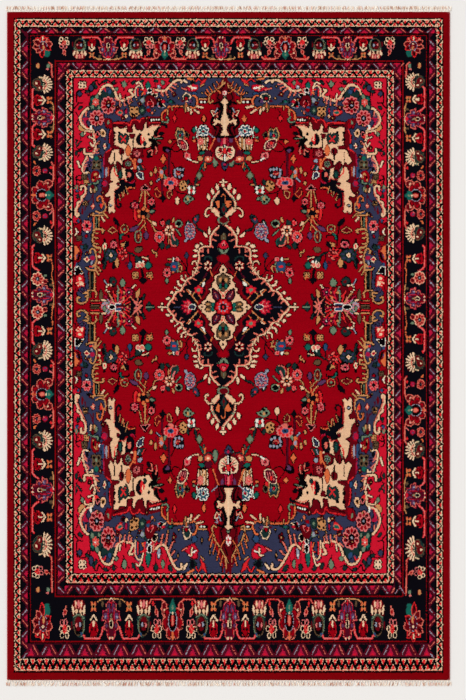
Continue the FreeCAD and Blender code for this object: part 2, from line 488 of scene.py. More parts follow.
def stretched(drawn: Sequence[float], woven: Sequence[float]) -> Callable:
    """A map from places on the drawing to knots, straight between the pairs given.

    Args:
        drawn: Places on the drawing, in rising order.
        woven: The knots that they fall on.

    Returns:
        A function that maps an array, and runs on straight past both ends.
    """
    xs, ys = np.array(drawn, dtype=float), np.array(woven, dtype=float)
    first, last = (ys[1] - ys[0]) / (xs[1] - xs[0]), (ys[-1] - ys[-2]) / (xs[-1] - xs[-2])
    xs = np.concatenate([[xs[0] - 100], xs, [xs[-1] + 100]])
    ys = np.concatenate([[ys[0] - 100 * first], ys, [ys[-1] + 100 * last]])
    return lambda values: np.interp(values, xs, ys)


def mirrored(points: Points) -> np.ndarray:
    """A half outline and its mirror image, as one closed outline.

    Args:
        points: The half outline, from the axis round to it.

    Returns:
        The whole outline.
    """
    half = spots(points)
    back = half[::-1]
    return np.vstack([half, back[back[:, 0] != 0] * (-1, 1)])


def fourfold(points: Points) -> np.ndarray:
    """A quarter of an outline, from its top to its left, mirrored both ways.

    Args:
        points: The quarter.

    Returns:
        The whole outline.
    """
    quarter = spots(points)
    back = quarter[::-1]
    return mirrored(np.vstack([quarter, back[back[:, 1] != 0] * (1, -1)]))


class BorderPen(MotifPen):
    """A pen that knows the motifs of the border.

    It draws along a side, and in from the edge of the pile; a motif's origin is its middle.
    """

    def sunflower(self) -> None:
        """The large red flower of the main border, and the vine that runs through it."""
        for side in (-1, 1):
            self.draw(
                (BAR, [(side * 9, 11), (side * 13, 14), (side * 17, 16), (side * 32, 16), (side *
                 35, 13)], CORAL, 1.5, RED, 0.8), (BUD, side * 29.5, 12.5, 2, SCARLET, None),
                (OVAL, side * 12.5, 8, 3.4, 6, WINE, CORAL, 1.2),
                (OVAL, side * 12.5, 7, 1.2, 1.4, PALE))
        outline = mirrored((0, -17.5, 2.5, -14, 4.5, -17, 8, -15.5, 8.5, -10, 13, -8.5, 15, -5,
                            14, -1, 10.5, 1, 13, 5, 9, 8, 4, 9))
        self.shape(outline, RED, CORAL, 1.2)
        self.at(0, -1, 0, 0.72).shape(outline, WINE)
        for side in (-1, 1):
            self.draw(
                (LINE, [(side * 5, -15), (side * 6, -8)], RED, 2),
                (LINE, [(side * 9, -9.5), (side * 7.5, -8)], PINK, 1.8))
        self.draw(
            (LINE, (0, -17, 0, -10), ORANGE, 2.8), (OVAL, 0, -2, 6, 8.5, BLACK, MIST, 0.8),
            (OVAL, 0, -1.5, 1.9, 4.5, CORAL, RED, 1.2),
            (BLOB, (0, 3, 3.5, 6, 4.8, 9.5, 2, 13.5, 0, 16.5, -2, 13.5, -4.8, 9.5, -3.5, 6), TEAL,
             FOREST, 0.8), (OVAL, 0, 4.5, 1.2, 1.3, PALE), (OVAL, 0, 9.5, 1.4, 2, SAGE))

    def white_rosette(self) -> None:
        """The flower of pale rings, and the small pink one beyond it."""
        for across, along, ring in ((-4, -14, PALE), (3.6, -14.2, PALE), (-5, -8.5, PALE),
                                    (5.6, -8.5, PALE), (-4, -3.5, PINK), (1.6, -3, PINK)):
            self.oval(across, along, 1.9, 2.1, BLACK, ring, 1.1)
        self.draw(
            (OVAL, 0, -9, 3.4, 3.6, SCARLET), (LINE, (-2.5, -11, 2.5, -6), WINE, 1),
            (LINE, (2.5, -11, -2.5, -6), CORAL, 1), (OVAL, 0.5, 5.5, 1.5, 2.2, RED, CORAL, 1.1),
            (LINE, (-2, 5, -1.6, 1.5), PINK, 1.4), (LINE, (1, 8, 2.5, 10.5), CORAL, 1.4))

    def turtle(self) -> None:
        """The shell-shaped palmette: a dark head with two eyes over a fan of pale petals."""
        self.draw(
            (BLOB, (-8, 3, -8.5, -6, -5, -12, 1, -16, 6, -13, 9, -5, 8, 3), FOREST),
            (OVAL, 0, -6, 6.6, 8, BLACK, BROWN, 1.2), (OVAL, -0.4, -4.5, 5, 5.8, WINE),
            (LINE, (4, -15, 8, -9, 8.6, -2), SAGE, 1.1), (OVAL, 4.5, -13, 1.6, 1.5, BLUE),
            (OVAL, -3.2, -5.5, 1.4, 2, PINK, BLACK, 0.9),
            (OVAL, 2.2, -5, 1.5, 2.2, MIST, BLACK, 0.9),
            (LINE, (-8, 1, -3, 3, 3, 3, 8, 0), SAGE, 1.6),
            (BLOB, (-10, 3, -6, 2, 0, 5, 6, 3, 10, 3, 10, 9, 7, 15, 0, 15.5, -6, 15, -10, 9),
             WINE))
        for across, along, lean, length, dye in (
                (-8.2, 7, 14, 9, PALE), (-4.4, 11.5, 10, 8, CORAL), (0, 11.5, 0, 8, PINK),
                (4, 11.5, -10, 8, CORAL), (8.2, 7, -14, 9, PALE), (-3.4, 5.5, -25, 6, CREAM),
                (3.4, 5.5, 25, 6, CREAM)):
            self.leaf(across, along, length, 3.7, lean, dye, None)
        self.draw(
            (LINE, (-4.4, 10, -4, 14), PALE, 1.4), (LINE, (4, 10, 4, 14), PALE, 1.4))
        for across, along in ((-5.4, 4), (0, 6.4), (5.4, 4.6)):
            self.oval(across, along, 1.2, 1.3, BLACK)
        self.line((-10.5, -9, -10, -3), WINE, 1.8)

    def fan_palmette(self) -> None:
        """The long sides' palmette: two white eyes, and a fan of pale and red stripes."""
        self.draw(
            (BLOB, (-8, -12, -2, -16, 5, -14, 9, -8, 9, -2, 2, 2, -6, 1), FOREST, BROWN, 0.6),
            (OVAL, -1.5, -9, 5, 5.2, WINE, BROWN, 0.7), (OVAL, 5, -5, 3.8, 4, WINE, BROWN, 0.7),
            (OVAL, -1.5, -10.5, 1.7, 1.7, PALE), (OVAL, 5, -5.5, 1.4, 1.4, PALE),
            (LINE, (-11, -6, -9, 0, -4, 0, 0, 2, 5, 0, 8, 4, 11, 6), CREAM, 1.6, SAGE, 0.5),
            (BLOB, (-13, -1, -9, 3, -2, 3, 6, 3, 12, 2, 11, 9, 6, 13, -6, 13, -12, 9), WINE))
        for number in range(9):
            turn = math.radians(-80 + 20 * number)
            c, s = math.cos(turn), math.sin(turn)
            self.line([(4 * s, 4.5 * c - 0.5), (13 * s, 14 * c)], PALE, 2.4, BLACK, 0.8)
        self.line((-7, 1, -3, 4.5, 3, 4.5, 7, 1), CORAL, 1.4)

    def heart_flower(self) -> None:
        """The red flower and the vine above it, its pale chevron and the orange flower below."""
        self.draw(
            (BAR, (-15, -14, -13, -16.5, 9, -16.5, 12, -13, 14.5, -7), PINK, 1.3, SCARLET, 0.8),
            (BLOB, (0, -16, 4, -14, 6, -9, 4.6, -5, 1.6, -2, -1.6, -2, -4.6, -5, -6, -9, -4, -14),
             RED, SCARLET, 0.5), (OVAL, -2.4, -9, 1.4, 1.4, BLACK),
            (OVAL, 2.4, -9, 1.4, 1.4, BLACK), (LINE, (0, -6.5, 0, -2), PALE, 2.1, WINE, 0.7),
            (BAR, (-4.4, -1.2, 0, 3.2, 4.6, -1.4), PALE, 2.2, BLACK, 0.8))
        for turn in (0, 90, 180, 270):
            petal = self.at(0, 10, turn + 45)
            petal.leaf(0, -3.2, 5, 3.2, 0, ORANGE, BURGUNDY, None, 0.5)
        self.oval(0, 10, 1.4, 1.4, BLACK, TAN, 0.8)

    def purple_palmette(self) -> None:
        """The tall purple palmette in its rose line, and the tan stalks beside its foot."""
        for side in (-1, 1):
            self.draw(
                (BAR, [(side * 3.5, 16.5), (side * 16, 16), (side * 20, 14)], TAN),
                (OVAL, side * 13, 12.5, 1.6, 3, BROWN))
        outline = mirrored((0, -15.5, 2.5, -17.5, 5.5, -15, 6.2, -10, 9.5, -9, 10.5, -5, 7.8, -2.8,
                            9.4, -1, 14.2, -1.5, 12, 3, 12, 6.2, 7.6, 6.4, 7.4, 11.5, 5, 13.5,
                            3, 14, 0, 17))
        self.draw(
            (SHAPE, outline, BURGUNDY, ROSE, 0.9), (BAR, [*outline, outline[0]], CORAL, 0.7))
        for side in (-1, 1):
            self.draw(
                (OVAL, side * 2.2, -16.5, 0.9, 1.3, PALE),
                (LINE, [(side * 4, -14), (side * 4.8, -8)], RED, 1.4),
                (OVAL, side * 8, 2, 3, 3, PURPLE), (OVAL, side * 8.6, 1.2, 1.1, 1.5, MIST),
                (LINE, [(side * 4.2, -4), (side * 5, 3), (side * 4, 9)], CRIMSON, 1),
                (LINE, [(side * 2.2, 6), (side * 3, 12)], PURPLE, 2),
                (OVAL, side * 5.6, 8, 0.9, 2.6, SLATE), (OVAL, side * 7, -6, 1.6, 1.6, PURPLE))
        self.draw(
            (OVAL, 0, -4.5, 1.9, 3.4, BLACK, PALE, 0.9),
            (OVAL, 0, -0.6, 1.2, 1.3, SAGE, ORANGE, 0.5), (OVAL, 0, 2.8, 1.1, 1.4, SAGE),
            (OVAL, 0, 13, 2.6, 2.4, CRIMSON), (LINE, (-3.5, 15, 0, 17, 3.5, 15), PALE, 1))

    def ring_flower(self) -> None:
        """The small ring-shaped flower of the long sides, and the rose bud beyond it."""
        self.draw(
            (ROSETTE, 0, -10, 7.4, 6.4, CORAL, RED, BLACK, 9, None, SLATE),
            (LINE, (3, 10, 6, 13), PINK, 1.6), (OVAL, 0, 3, 3.6, 3.8, ROSE, WINE, 0.7),
            (OVAL, -1, 3, 1.3, 1.5, BLUE), (OVAL, 2.4, 1.4, 1, 1, PINK),
            (LINE, (-14, -14, -11, -12), ORANGE, 2.4))

    def sprig_rosette(self) -> None:
        """The larger ring of petals beside the middle of a long side, and its sprig."""
        self.draw(
            (ROSETTE, 0, -8.5, 9, 8.4, CORAL, RED, BLACK, 8, PALE, MIST),
            (OVAL, -5, 3.5, 2, 2.6, SAGE, BLACK), (OVAL, 4, 3, 3, 3.2, WINE, CORAL, 0.8),
            (LINE, (-24, 14, -15, 15, -8, 13, 0, 14.5, 10, 14.5), ORANGE, 1.3))

    def corner_rosette(self) -> None:
        """The large flower in a corner of the main border."""
        self.blob((2, 8, 8, 7, 11, 11, 9, 17, 4, 17, 1, 13), TEAL, FOREST, 0.7)
        for turn, reach, wide, heart, rim in ((-42, 8.6, 7.6, PALE, SCARLET), (2, 8.8, 7.4, PALE,
                                                                               SCARLET), (38, 8.6,
                                                                                          7, CORAL,
                                                                                          SCARLET),
                                              (82, 8.8, 8.4, WINE, CORAL), (120, 7.6, 7, BLACK,
                                                                            SCARLET), (184, 12.4,
                                                                                       6, BLACK,
                                                                                       SCARLET),
                                              (218, 8.8, 7, WINE, CORAL), (258, 9.4, 7.4, BLACK,
                                                                           CORAL), (296, 9.4, 7,
                                                                                    BLACK, CORAL)):
            petal = self.at(0, 0, turn)
            petal.draw(
                (LEAF, 0, -reach, 11, wide, 0, WINE, rim, None, 1.2),
                (LINE, [(0, -reach - 2.8), (0, -reach + 1)], heart, 1.9))
        self.draw(
            (OVAL, 0.5, 1, 5.6, 6.6, BURGUNDY, MIST, 0.6), (OVAL, 1.2, 4, 1.7, 3.2, TAN, RED, 1.1),
            (OVAL, 0.5, -1.6, 1.3, 1.3, PALE))

    def guard(self, start: float, end: float, outer: float, inner: float,
                   period: float, heavy: float) -> None:
        """A black zigzag between two rows of red-hearted triangles.

        Args:
            start: Where it starts along the side.
            end: Where it ends.
            outer: The depth of its outer edge.
            inner: The depth of its inner edge.
            period: About how long one tooth is.
            heavy: How wide the zigzag is.
        """
        teeth = round((end - start) / period)
        step = (end - start) / teeth
        self.draw(
            (LINE, [(start, outer + 0.5), (end, outer + 0.5)], PALE, 1),
            (LINE, [(start, inner - 0.5), (end, inner - 0.5)], PALE, 1))
        high = inner - outer
        zigzag = [(start + number * step / 2, outer + high * (0.15 if number % 2 else 0.85))
                  for number in range(2 * teeth + 1)]
        self.bar(zigzag, PALE, heavy + 1)
        for number in range(teeth):
            here = start + number * step
            for middle, foot, tip in ((here, outer + 0.1 * high, outer + 0.5 * high),
                                      (here + step / 2, inner - 0.1 * high, inner - 0.5 * high)):
                self.shape([(middle - 0.22 * step, foot), (middle + 0.22 * step, foot),
                           (middle + 0.07 * step, tip), (middle - 0.07 * step, tip)], SCARLET)
        self.bar(zigzag, BLACK, heavy)

    def minor(self, places: Sequence[tuple[int, float]], half: float, outer: float,
                   inner: float, dark_outside: bool) -> None:
        """Dark and rose triangles, turn about, with pale strokes between them.

        Args:
            places: Each triangle's number and its place along the side.
            half: How far apart they are.
            outer: The depth of the outer edge.
            inner: The depth of the inner edge.
            dark_outside: Whether the dark ones stand on the outer edge.
        """
        rise = 1 if dark_outside else -1
        middle, reach = (outer + inner) / 2, (inner - outer) / 2 - 0.3
        for number, place in places:
            dark = number % 2 == 0
            way = rise if dark else -rise
            foot, tip = middle - way * reach, middle + way * reach * (0.55 if dark else 0.4)
            wide = half * (0.5 if dark else 0.38)
            self.shape([(place - wide, foot), (place + wide, foot), (place, tip)],
                      NAVY if dark else ROSE, BLACK, 0.5)
            if not dark:
                self.shape([(place - wide * 0.6, foot), (place + wide * 0.6, foot),
                           (place, (foot * 2 + tip) / 3)], CRIMSON)
            lean = half * 0.26 * (1 if dark else -1)
            self.line([(place + half * 0.5 + lean, middle - rise * reach * 0.85),
                      (place + half * 0.5 - lean, middle + rise * reach * 0.85)],
                     MIST if dark else CORAL, 0.9, WINE, 0.6)


class Side(Enum):
    """The four sides of the rug, each with its step across and along from the middle."""

    NORTH = (0, 1)
    SOUTH = (0, -1)
    WEST = (-1, 0)
    EAST = (1, 0)

    @property
    def word(self) -> str:
        """The side's name in the CAD nodes."""
        return self.name.lower()

    @property
    def short(self) -> bool:
        """Whether it is one of the two short sides."""
        return self in (Side.NORTH, Side.SOUTH)

    @property
    def ends(self) -> tuple["Side", "Side"]:
        """The two sides that it runs between."""
        return (Side.WEST, Side.EAST) if self.short else (Side.NORTH, Side.SOUTH)


class Motif(Enum):
    """The flowers of the main border, each with the name of the pen's method for it."""

    SUNFLOWER = "sunflower"
    WHITE = "white_rosette"
    TURTLE = "turtle"
    FAN = "fan_palmette"
    HEART = "heart_flower"
    PURPLE = "purple_palmette"
    RING = "ring_flower"
    ROSETTE = "sprig_rosette"


SHORT_SIDE = ((Motif.WHITE, 1), (Motif.TURTLE, 1), (Motif.HEART, 1), (Motif.PURPLE, 1),
              (Motif.HEART, -1), (Motif.TURTLE, -1), (Motif.WHITE, -1),
              (Motif.SUNFLOWER, 1)) * 3
LONG_SIDE = (
    (Motif.FAN, 1), (Motif.HEART, 1.25), (Motif.PURPLE, 1.1), (Motif.HEART, -1.25),
    (Motif.FAN, -1), (Motif.RING, 1), (Motif.SUNFLOWER, 1.4), (Motif.RING, -1),
    (Motif.FAN, 1.05), (Motif.HEART, 1.3), (Motif.ROSETTE, 1), (Motif.PURPLE, 1.15),
    (Motif.ROSETTE, -1), (Motif.HEART, -1.3), (Motif.FAN, -1.1), (Motif.RING, 1),
    (Motif.SUNFLOWER, 1.45), (Motif.RING, -1), (Motif.FAN, 1.15), (Motif.HEART, 1.5),
    (Motif.PURPLE, 1.35), (Motif.HEART, -1.6), (Motif.FAN, -1.4), (Motif.WHITE, 1.25))


@dataclass
class BorderDesign:
    """The border's stripes, from the plain band at the pile's edge to the inner guard.

    Depths are how far in each stripe ends, and places how far along each flower's middle is,
    all in knots. The weaver drew the short sides shorter and the south side deeper.
    """

    cartoon: Cartoon
    dyes: tuple[Dye, ...] = (BLACK, CORAL, BLACK, BURGUNDY, BLACK, BAND, NAVY, BAND, BLACK,
                             BURGUNDY, BLACK, CORAL, BLACK, RED)
    depths: dict[Side, tuple[float, ...]] = field(default_factory=lambda: {
        Side.NORTH: (9.4, 11.5, 21.5, 24, 32, 34.6, 36.2, 73, 74.6, 76.8, 86.5, 88.5, 97.7, 100),
        Side.WEST: (8, 10, 17.5, 20, 30, 32.9, 34.3, 70, 71.6, 74, 85.3, 88, 95.7, 98.7),
        Side.SOUTH: (11.5, 14.5, 32.5, 35.5, 55, 57, 58.8, 125, 126.6, 129, 143, 146.5, 159.5,
                     162),
        Side.EAST: (8, 10, 17.5, 20, 30, 32.9, 34.3, 67.9, 69.6, 72, 81.5, 83.5, 91, 93.7)})
    places: dict[Side, tuple[float, ...]] = field(default_factory=lambda: {
        Side.NORTH: (84, 107.5, 126, 150.5, 174.5, 192, 211.5, 235.5, 259.5, 277.5, 296.5,
                     320.5, 348.5, 369.5, 392, 416, 441.5, 467, 485, 509.5, 533.5, 551.5,
                     573.5),
        Side.SOUTH: (85, 106, 128.5, 155, 182, 204, 223.5, 247.5, 275.5, 291, 309, 332.5, 356,
                     377, 395.5, 422, 447, 466, 487, 509.5, 533.5, 555, 577),
        Side.WEST: (109, 133, 159, 184, 211, 239, 275.5, 307, 337, 370, 401.5, 425.5, 451.5,
                    480, 509, 537, 575, 612, 645, 680, 719, 760, 801, 842),
        Side.EAST: (105, 131.5, 161, 190, 218, 246, 276, 304, 333, 371, 400, 431, 463, 492,
                    527, 560, 599, 632, 659, 693, 727, 766, 807, 843)})

    def draw(self) -> None:
        """Draw the whole border."""
        self.pens = {side: self.pen(side) for side in Side}
        self.draw_stripes()
        for side in Side:
            self.draw_guards(side)
            self.draw_minors(side)
            self.draw_main(side)
        self.draw_corners()

    def pen(self, side: Side) -> BorderPen:
        """A pen that draws along a side, and in from the pile's edge.

        Args:
            side: The side.

        Returns:
            The pen; depths are those of the north side, stretched to fit this one.
        """
        depth = stretched((0, *self.depths[Side.NORTH]), (0, *self.depths[side]))
        ends = (self.cartoon.columns, self.cartoon.rows)

        def place(points: np.ndarray) -> np.ndarray:
            along, deep = points[:, 0], depth(points[:, 1])
            if side in (Side.SOUTH, Side.EAST):
                deep = ends[side.short] - deep
            return np.column_stack([along, deep] if side.short else [deep, along])

        return BorderPen(self.cartoon, place)

    def span(self, side: Side, line: int) -> tuple[float, float]:
        """Where a stripe of a side begins and ends along it."""
        first, last = (self.depths[end][line] for end in side.ends)
        return first, (self.cartoon.columns if side.short else self.cartoon.rows) - last

    def draw_stripes(self) -> None:
        """Draw the ground of every stripe, one rectangle inside the other."""
        self.cartoon.knots[:] = BAND.place
        for number, dye in enumerate(self.dyes):
            left, right = self.span(Side.NORTH, number)
            top, bottom = self.span(Side.WEST, number)
            self.cartoon.fill(np.array([(left, top), (right, top), (right, bottom),
                                        (left, bottom)]), dye)

    def draw_guards(self, side: Side) -> None:
        """Draw both guards of a side.

        Args:
            side: The side.
        """
        period = {Side.NORTH: 10.85, Side.SOUTH: 10.3}.get(side, 12.4)
        for line in (1, 11):
            start, end = self.span(side, line)
            outer, inner = self.depths[Side.NORTH][line:line + 2]
            self.pens[side].guard(start + 1.2, end - 1.2, outer, inner, period,
                                  3.9 if side is Side.SOUTH else 2.9)

    def draw_minors(self, side: Side) -> None:
        """Draw both minor borders of a side.

        Args:
            side: The side.
        """
        half = {Side.NORTH: (13.05, 12.55), Side.SOUTH: (13.5, 12.8)}.get(side, (16.45, 16.45))
        first = {Side.NORTH: (52, 94.5), Side.SOUTH: (48, 99)}.get(side, (39, 105))
        for ring, (line, outer, inner) in enumerate(((3, 24.4, 31.8), (9, 77, 86.2))):
            start, end = self.span(side, line)
            places = [first[ring] + half[ring] * number for number in range(-6, 60)]
            kept = [(number, place) for number, place in enumerate(places)
                    if start + 2 < place < end - 2]
            self.pens[side].minor(kept, half[ring], outer, inner,
                                  (ring == 0) != (side is Side.SOUTH))

    def draw_main(self, side: Side) -> None:
        """Draw the flowers of the main border along a side.

        Args:
            side: The side.
        """
        order = SHORT_SIDE if side.short else LONG_SIDE
        row = sorted(zip(self.places[side], order), key=lambda pair: pair[1][0] != Motif.HEART)
        for place, (motif, size) in row:
            getattr(self.pens[side].at(place, 55, 0, size, 1 / abs(size)), motif.value)()
        if not side.short:
            self.draw_sprigs(self.pens[side], 873 if side is Side.EAST else 869)

    def draw_sprigs(self, pen: BorderPen, last: float) -> None:
        """Draw the buds and vines near the two ends of a long side.

        Args:
            pen: The side's pen.
            last: Where the last bud is along the side.
        """
        for place in (81, last):
            bud = pen.at(place, 47)
            bud.draw(
                (OVAL, 0, 0, 3.8, 2.6, TAN, WINE, 0.6), (OVAL, 1, 0, 1.4, 1, ORANGE),
                (OVAL, 0, 16, 3.4, 2.4, SAGE, FOREST, 0.8), (OVAL, 5, 15, 1.6, 2.2, PINK))
        for start, end in ((76, 98), (last - 52, last + 4)):
            pen.bar([(start, 64), (start + 4, 68), (end, 69)], CORAL, 1.4, RED, 0.8)

    def draw_corners(self) -> None:
        """Draw the large flower in each corner of the main border."""
        for side in (Side.NORTH, Side.SOUTH):
            self.pens[side].at(52, 50).corner_rosette()
            self.pens[side].at(609, 50, 0, -1).corner_rosette()


class FieldPen(MotifPen):
    """A pen that knows what lies in each part of a quarter of the field."""

    def corner(self) -> None:
        """The crimson corner and the slate ground with its flowers."""
        self.shape((0, 0, 156, 0, 150, 7, 143, 15, 120, 30, 60, 34, 25, 60, 25, 78, 30, 112,
                    18, 120, 16, 140, 19, 165, 12, 182, 4, 196, 3, 209, 0, 210), CRIMSON)
        slate = (155, 0, 154, 5, 149, 8, 144, 14, 139, 19, 128, 21, 118, 26, 108, 19, 103, 13,
                 98, 9, 93, 12, 92, 20, 94, 28, 88, 26, 80, 31, 72, 33, 66, 28, 62, 19, 57, 11,
                 50, 10, 43, 14, 39, 22, 34, 30, 25, 38, 24, 45, 17, 48, 11, 56, 10, 66, 15, 74,
                 25, 78, 30, 84, 31, 96, 32, 108, 28, 113, 24, 117, 17, 117, 14, 128, 13, 140,
                 19, 144, 22, 150, 25, 158, 20, 162, 19, 170, 15, 178, 11, 186, 6, 194, 4, 204,
                 8, 209, 12, 216, 14, 222, 10, 232, 12, 246, 12, 262, 10, 273, 3, 280, 11, 288,
                 16, 298, 17, 310, 8, 316, 3, 322, 6, 334, 15, 338, 22, 330, 24, 318, 22, 290,
                 30, 288, 33, 280, 33, 262, 30, 252, 28, 245, 28, 235, 30, 227, 28, 206, 44, 203,
                 48, 196, 48, 188, 44, 178, 42, 165, 44, 158, 44, 132, 45, 115, 47, 111, 54, 106,
                 53, 92, 56, 80, 57, 76, 50, 75, 47, 68, 50, 60, 56, 62, 58, 66, 70, 65, 82, 66,
                 87, 62, 97, 62, 101, 60, 108, 57, 130, 57, 132, 53, 140, 47, 145, 42, 163, 41,
                 172, 44, 180, 46, 187, 38, 187, 30, 200, 30, 212, 18, 224, 6, 224, 0)
        self.shape(slate, SLATE)

    def corner_sprigs(self) -> None:
        """The tendrils, buds and leaves on the crimson corner."""
        self.draw(
            (LINE, (25, 28, 25, 20, 30, 12, 32, 4, 35, 3, 38, 10, 40, 8, 43, 5), BLACK, 2),
            (LINE, (22, 26, 18, 18, 10, 18, 5, 20, 4, 30, 5, 37, 13, 37), BLACK, 2),
            (LINE, (6, 39, 0, 45), BLACK, 2))
        for across, along, lean in ((30, 8, 30), (21, 20, 70), (33, 12, -30), (48, 4, 60),
                                    (60, 6, 20), (10, 44, 50), (90, 6, 40), (102, 4, 70),
                                    (4, 112, 0), (10, 108, 60), (146, 3, 60)):
            self.leaf(across, along, 7, 4, lean, FOREST, BLACK)
        self.draw(
            (LINE, (52, 3, 60, 9, 66, 6), BLACK, 1.6), (LINE, (3, 50, 7, 60, 4, 68), BLACK, 1.6),
            (LINE, (4, 104, 10, 110, 6, 118), BLACK, 1.6), (CROSS, 13, 10, 6, PALE, BLACK, None),
            (LEAF, 26, 14, 11, 7, 0, SLATE), (LEAF, 9, 23, 8, 7, 0, SLATE),
            (LINE, (75, 18, 76, 12, 70, 5), BLACK), (LINE, (76, 12, 84, 4), BLACK),
            (LEAF, 76, 9, 10, 7, 180, SAGE, None), (OVAL, 64, 16, 2.5, 2.5, SAGE, BLACK),
            (LEAF, 112, 11, 13, 7, 0, TEAL), (OVAL, 114, 18, 3, 3, BLACK, WHITE),
            (OVAL, 114, 23.5, 2.6, 1.6, BLACK, WHITE), (OVAL, 120, 18, 2, 3, CORAL, BLACK),
            (OVAL, 122, 25, 3.5, 2.5, BLACK, PALE),
            (BLOB, (130, 3, 137, 5, 140, 12, 136, 17, 133, 17, 133, 9, 130, 17, 124, 14, 124, 6),
             CRIMSON, WINE), (LEAF, 124, 4, 6, 5, 90, FOREST), (LEAF, 134, 6, 6, 5, 0, SAGE),
            (OVAL, 128, 14, 2.2, 4, MIST, BLACK), (OVAL, 128, 12, 1, 1, WHITE),
            # west side of the crimson
            (BLOB, (9, 70, 15, 75, 17, 79, 11, 79, 7, 74), TAN), (LEAF, 13, 84, 7, 5, 20, SAGE),
            (LINE, (11, 86, 10, 91), BLACK), (BAR, (3, 93, 4, 102, 7, 99, 11, 95), FOREST, 1.8),
            (LINE, (6, 125, 9, 133), PALE, 2.6, BLACK), (LINE, (4, 158, 4, 148, 8, 146), BLACK, 2),
            (LINE, (4, 152, 11, 153), BLACK, 2), (LEAF, 9, 157, 7, 4, 20, SCARLET),
            (LEAF, 4, 164, 8, 5, 0, SAGE, BLACK, SCARLET), (LEAF, 5, 169, 5, 4, 120, BLUE, None),
            (LEAF, 6, 177, 6, 4, 0, FOREST), (OVAL, 3, 213, 4.5, 5.5, CRIMSON),
            (LEAF, 7, 214, 6, 3.5, 0, BLUE, None),
            (SHAPE, (-2, 222, 8, 226, 10, 236, 6, 246, -2, 248), WINE),
            (LINE, (3, 226, 5, 231, 2, 236), PALE, 1.8, BLACK), (OVAL, 5, 231, 1.6, 1.6, WHITE),
            (CROSS, 8, 240, 4, BROWN, BLACK),
            (SHAPE, (1, 251, 4, 252, 9, 260, 4, 265, 3, 272, 1, 274), ORANGE, WINE),
            (SHAPE, (8, 262, 11, 262, 9, 272, 3, 277), BLACK),
            (SHAPE, (3, 266, 6, 265, 4, 272), BLUE),
            (SHAPE, (2, 284, 7, 283, 14, 293, 6, 293, 3, 298), BLACK, WHITE),
            (SHAPE, (2, 298, 8, 294, 16, 296, 13, 302, 4, 306, 2, 318, -2, 318, -2, 298), RED,
             BLACK), (ROSETTE, 9, 301, 6, 6, SCARLET, CRIMSON, PALE, 6, WINE),
            (LINE, (4, 308, 10, 306, 7, 312), PALE, 1.8, SCARLET),
            (SHAPE, (9, 308, 13, 304, 15, 312, 8, 310), PALE, SCARLET))

    def corner_vines(self) -> None:
        """The pale toothed vines that part the crimson corner from the slate ground."""
        # round the two rosettes
        self.draw(
            (LINE, (25, 45, 19, 46, 13, 53, 10, 61, 13, 70, 20, 75, 27, 77, 30, 82, 31, 92,
             33, 101, 31, 110, 28, 113, 17, 113, 16, 107), CREAM, 3.4, BLACK, 1.4),
            (LINE, (13, 55, 11, 63, 15, 69), CORAL, 1.6), (LINE, (18, 50, 18, 56), CORAL, 2),
            (LINE, (14, 61, 19, 73, 28, 75), SCARLET, 1.2), (LINE, (26, 71, 26, 76), WHITE, 2.4),
            (LINE, (30, 84, 35, 87, 38, 86), CORAL, 1.8),
            (LINE, (29, 90, 22, 88), PALE, 2.2, BLACK),
            (LINE, (32, 96, 29, 102, 25, 97), PALE, 2, BLACK),
            (LINE, (33, 100, 38, 95), CORAL, 2.2), (LINE, (32, 108, 34, 109, 37, 105), CORAL, 2),
            (LINE, (28, 112, 37, 112), CORAL, 2.2),
            (LINE, (16, 83, 18, 79, 27, 80), CREAM, 2.2, BLACK),
            # over the upper rosette, and on to the east
            (LINE, (38, 27, 40, 20, 44, 13, 50, 10, 56, 11, 60, 18, 62, 23), CREAM, 3.4, BLACK),
            (LINE, (42, 17, 46, 15, 48, 19), SCARLET, 1.6),
            (BLOB, (40, 24, 42, 24, 42, 29, 40, 28), SCARLET), (LINE, (57, 14, 59, 22), CORAL, 2),
            (LINE, (62, 20, 65, 28, 69, 32, 74, 33, 80, 30, 86, 28, 89, 25, 85, 20, 84, 18,
             88, 17), CREAM, 3.2, BLACK, 1.4))
        for across, along, deep in ((69, 32, 10), (76, 32, 8), (82, 30, 8), (86, 28, 7)):
            self.line([(across, along), (across + 1, along + deep)], CORAL, 2)
        self.draw(
            (LINE, (62, 30, 66, 33), CORAL, 2), (LINE, (69, 24, 70, 30), PALE, 2, BLACK),
            (LINE, (75, 28, 75, 31), SCARLET, 2), (LINE, (78, 25, 78, 31), BLACK, 2),
            (LINE, (93, 28, 92, 20, 94, 14, 98, 11, 101, 12), CREAM, 2),
            (LINE, (94, 8, 98, 6, 102, 10, 105, 18), PALE, 2.2, BLACK),
            (LINE, (96, 16, 96, 26), SCARLET, 2),
            # the toothed vine that runs up to the top edge
            (LINE, (124, 17, 131, 19, 138, 18, 143, 13, 149, 7, 155, 3, 162, 3, 162, 6), CREAM,
             3.2, BLACK, 1.4))
        for start, end in (((131, 19), (134, 26)), ((138, 19), (141, 26)), ((143, 14), (149, 21)),
                           ((147, 12), (152, 15)), ((149, 8), (154, 9))):
            self.line([start, end], CORAL, 2.2)
        # the second and third vines down the west side
        self.draw(
            (LINE, (28, 119, 28, 117, 24, 117), PALE, 2.4, BLACK),
            (LINE, (20, 117, 17, 124, 14, 130, 13, 138, 16, 142, 22, 141), CREAM, 2.6, BLACK),
            (LINE, (20, 118, 22, 122, 17, 126), CORAL, 1.8), (LINE, (15, 133, 20, 129), CORAL, 2),
            (LINE, (15, 140, 17, 134, 20, 132), CORAL, 1.6), (OVAL, 20, 139.5, 1.8, 1.8, WHITE),
            (LINE, (11, 167, 11, 163, 16, 162, 18, 167, 17, 174, 12, 178, 11, 184, 6, 187, 6, 192,
             3, 197, 3, 205, 6, 207, 7, 203), CREAM, 3, BLACK, 1.4),
            (LINE, (19, 171, 15, 180, 10, 188, 6, 196, 5, 203), CORAL, 1.4))

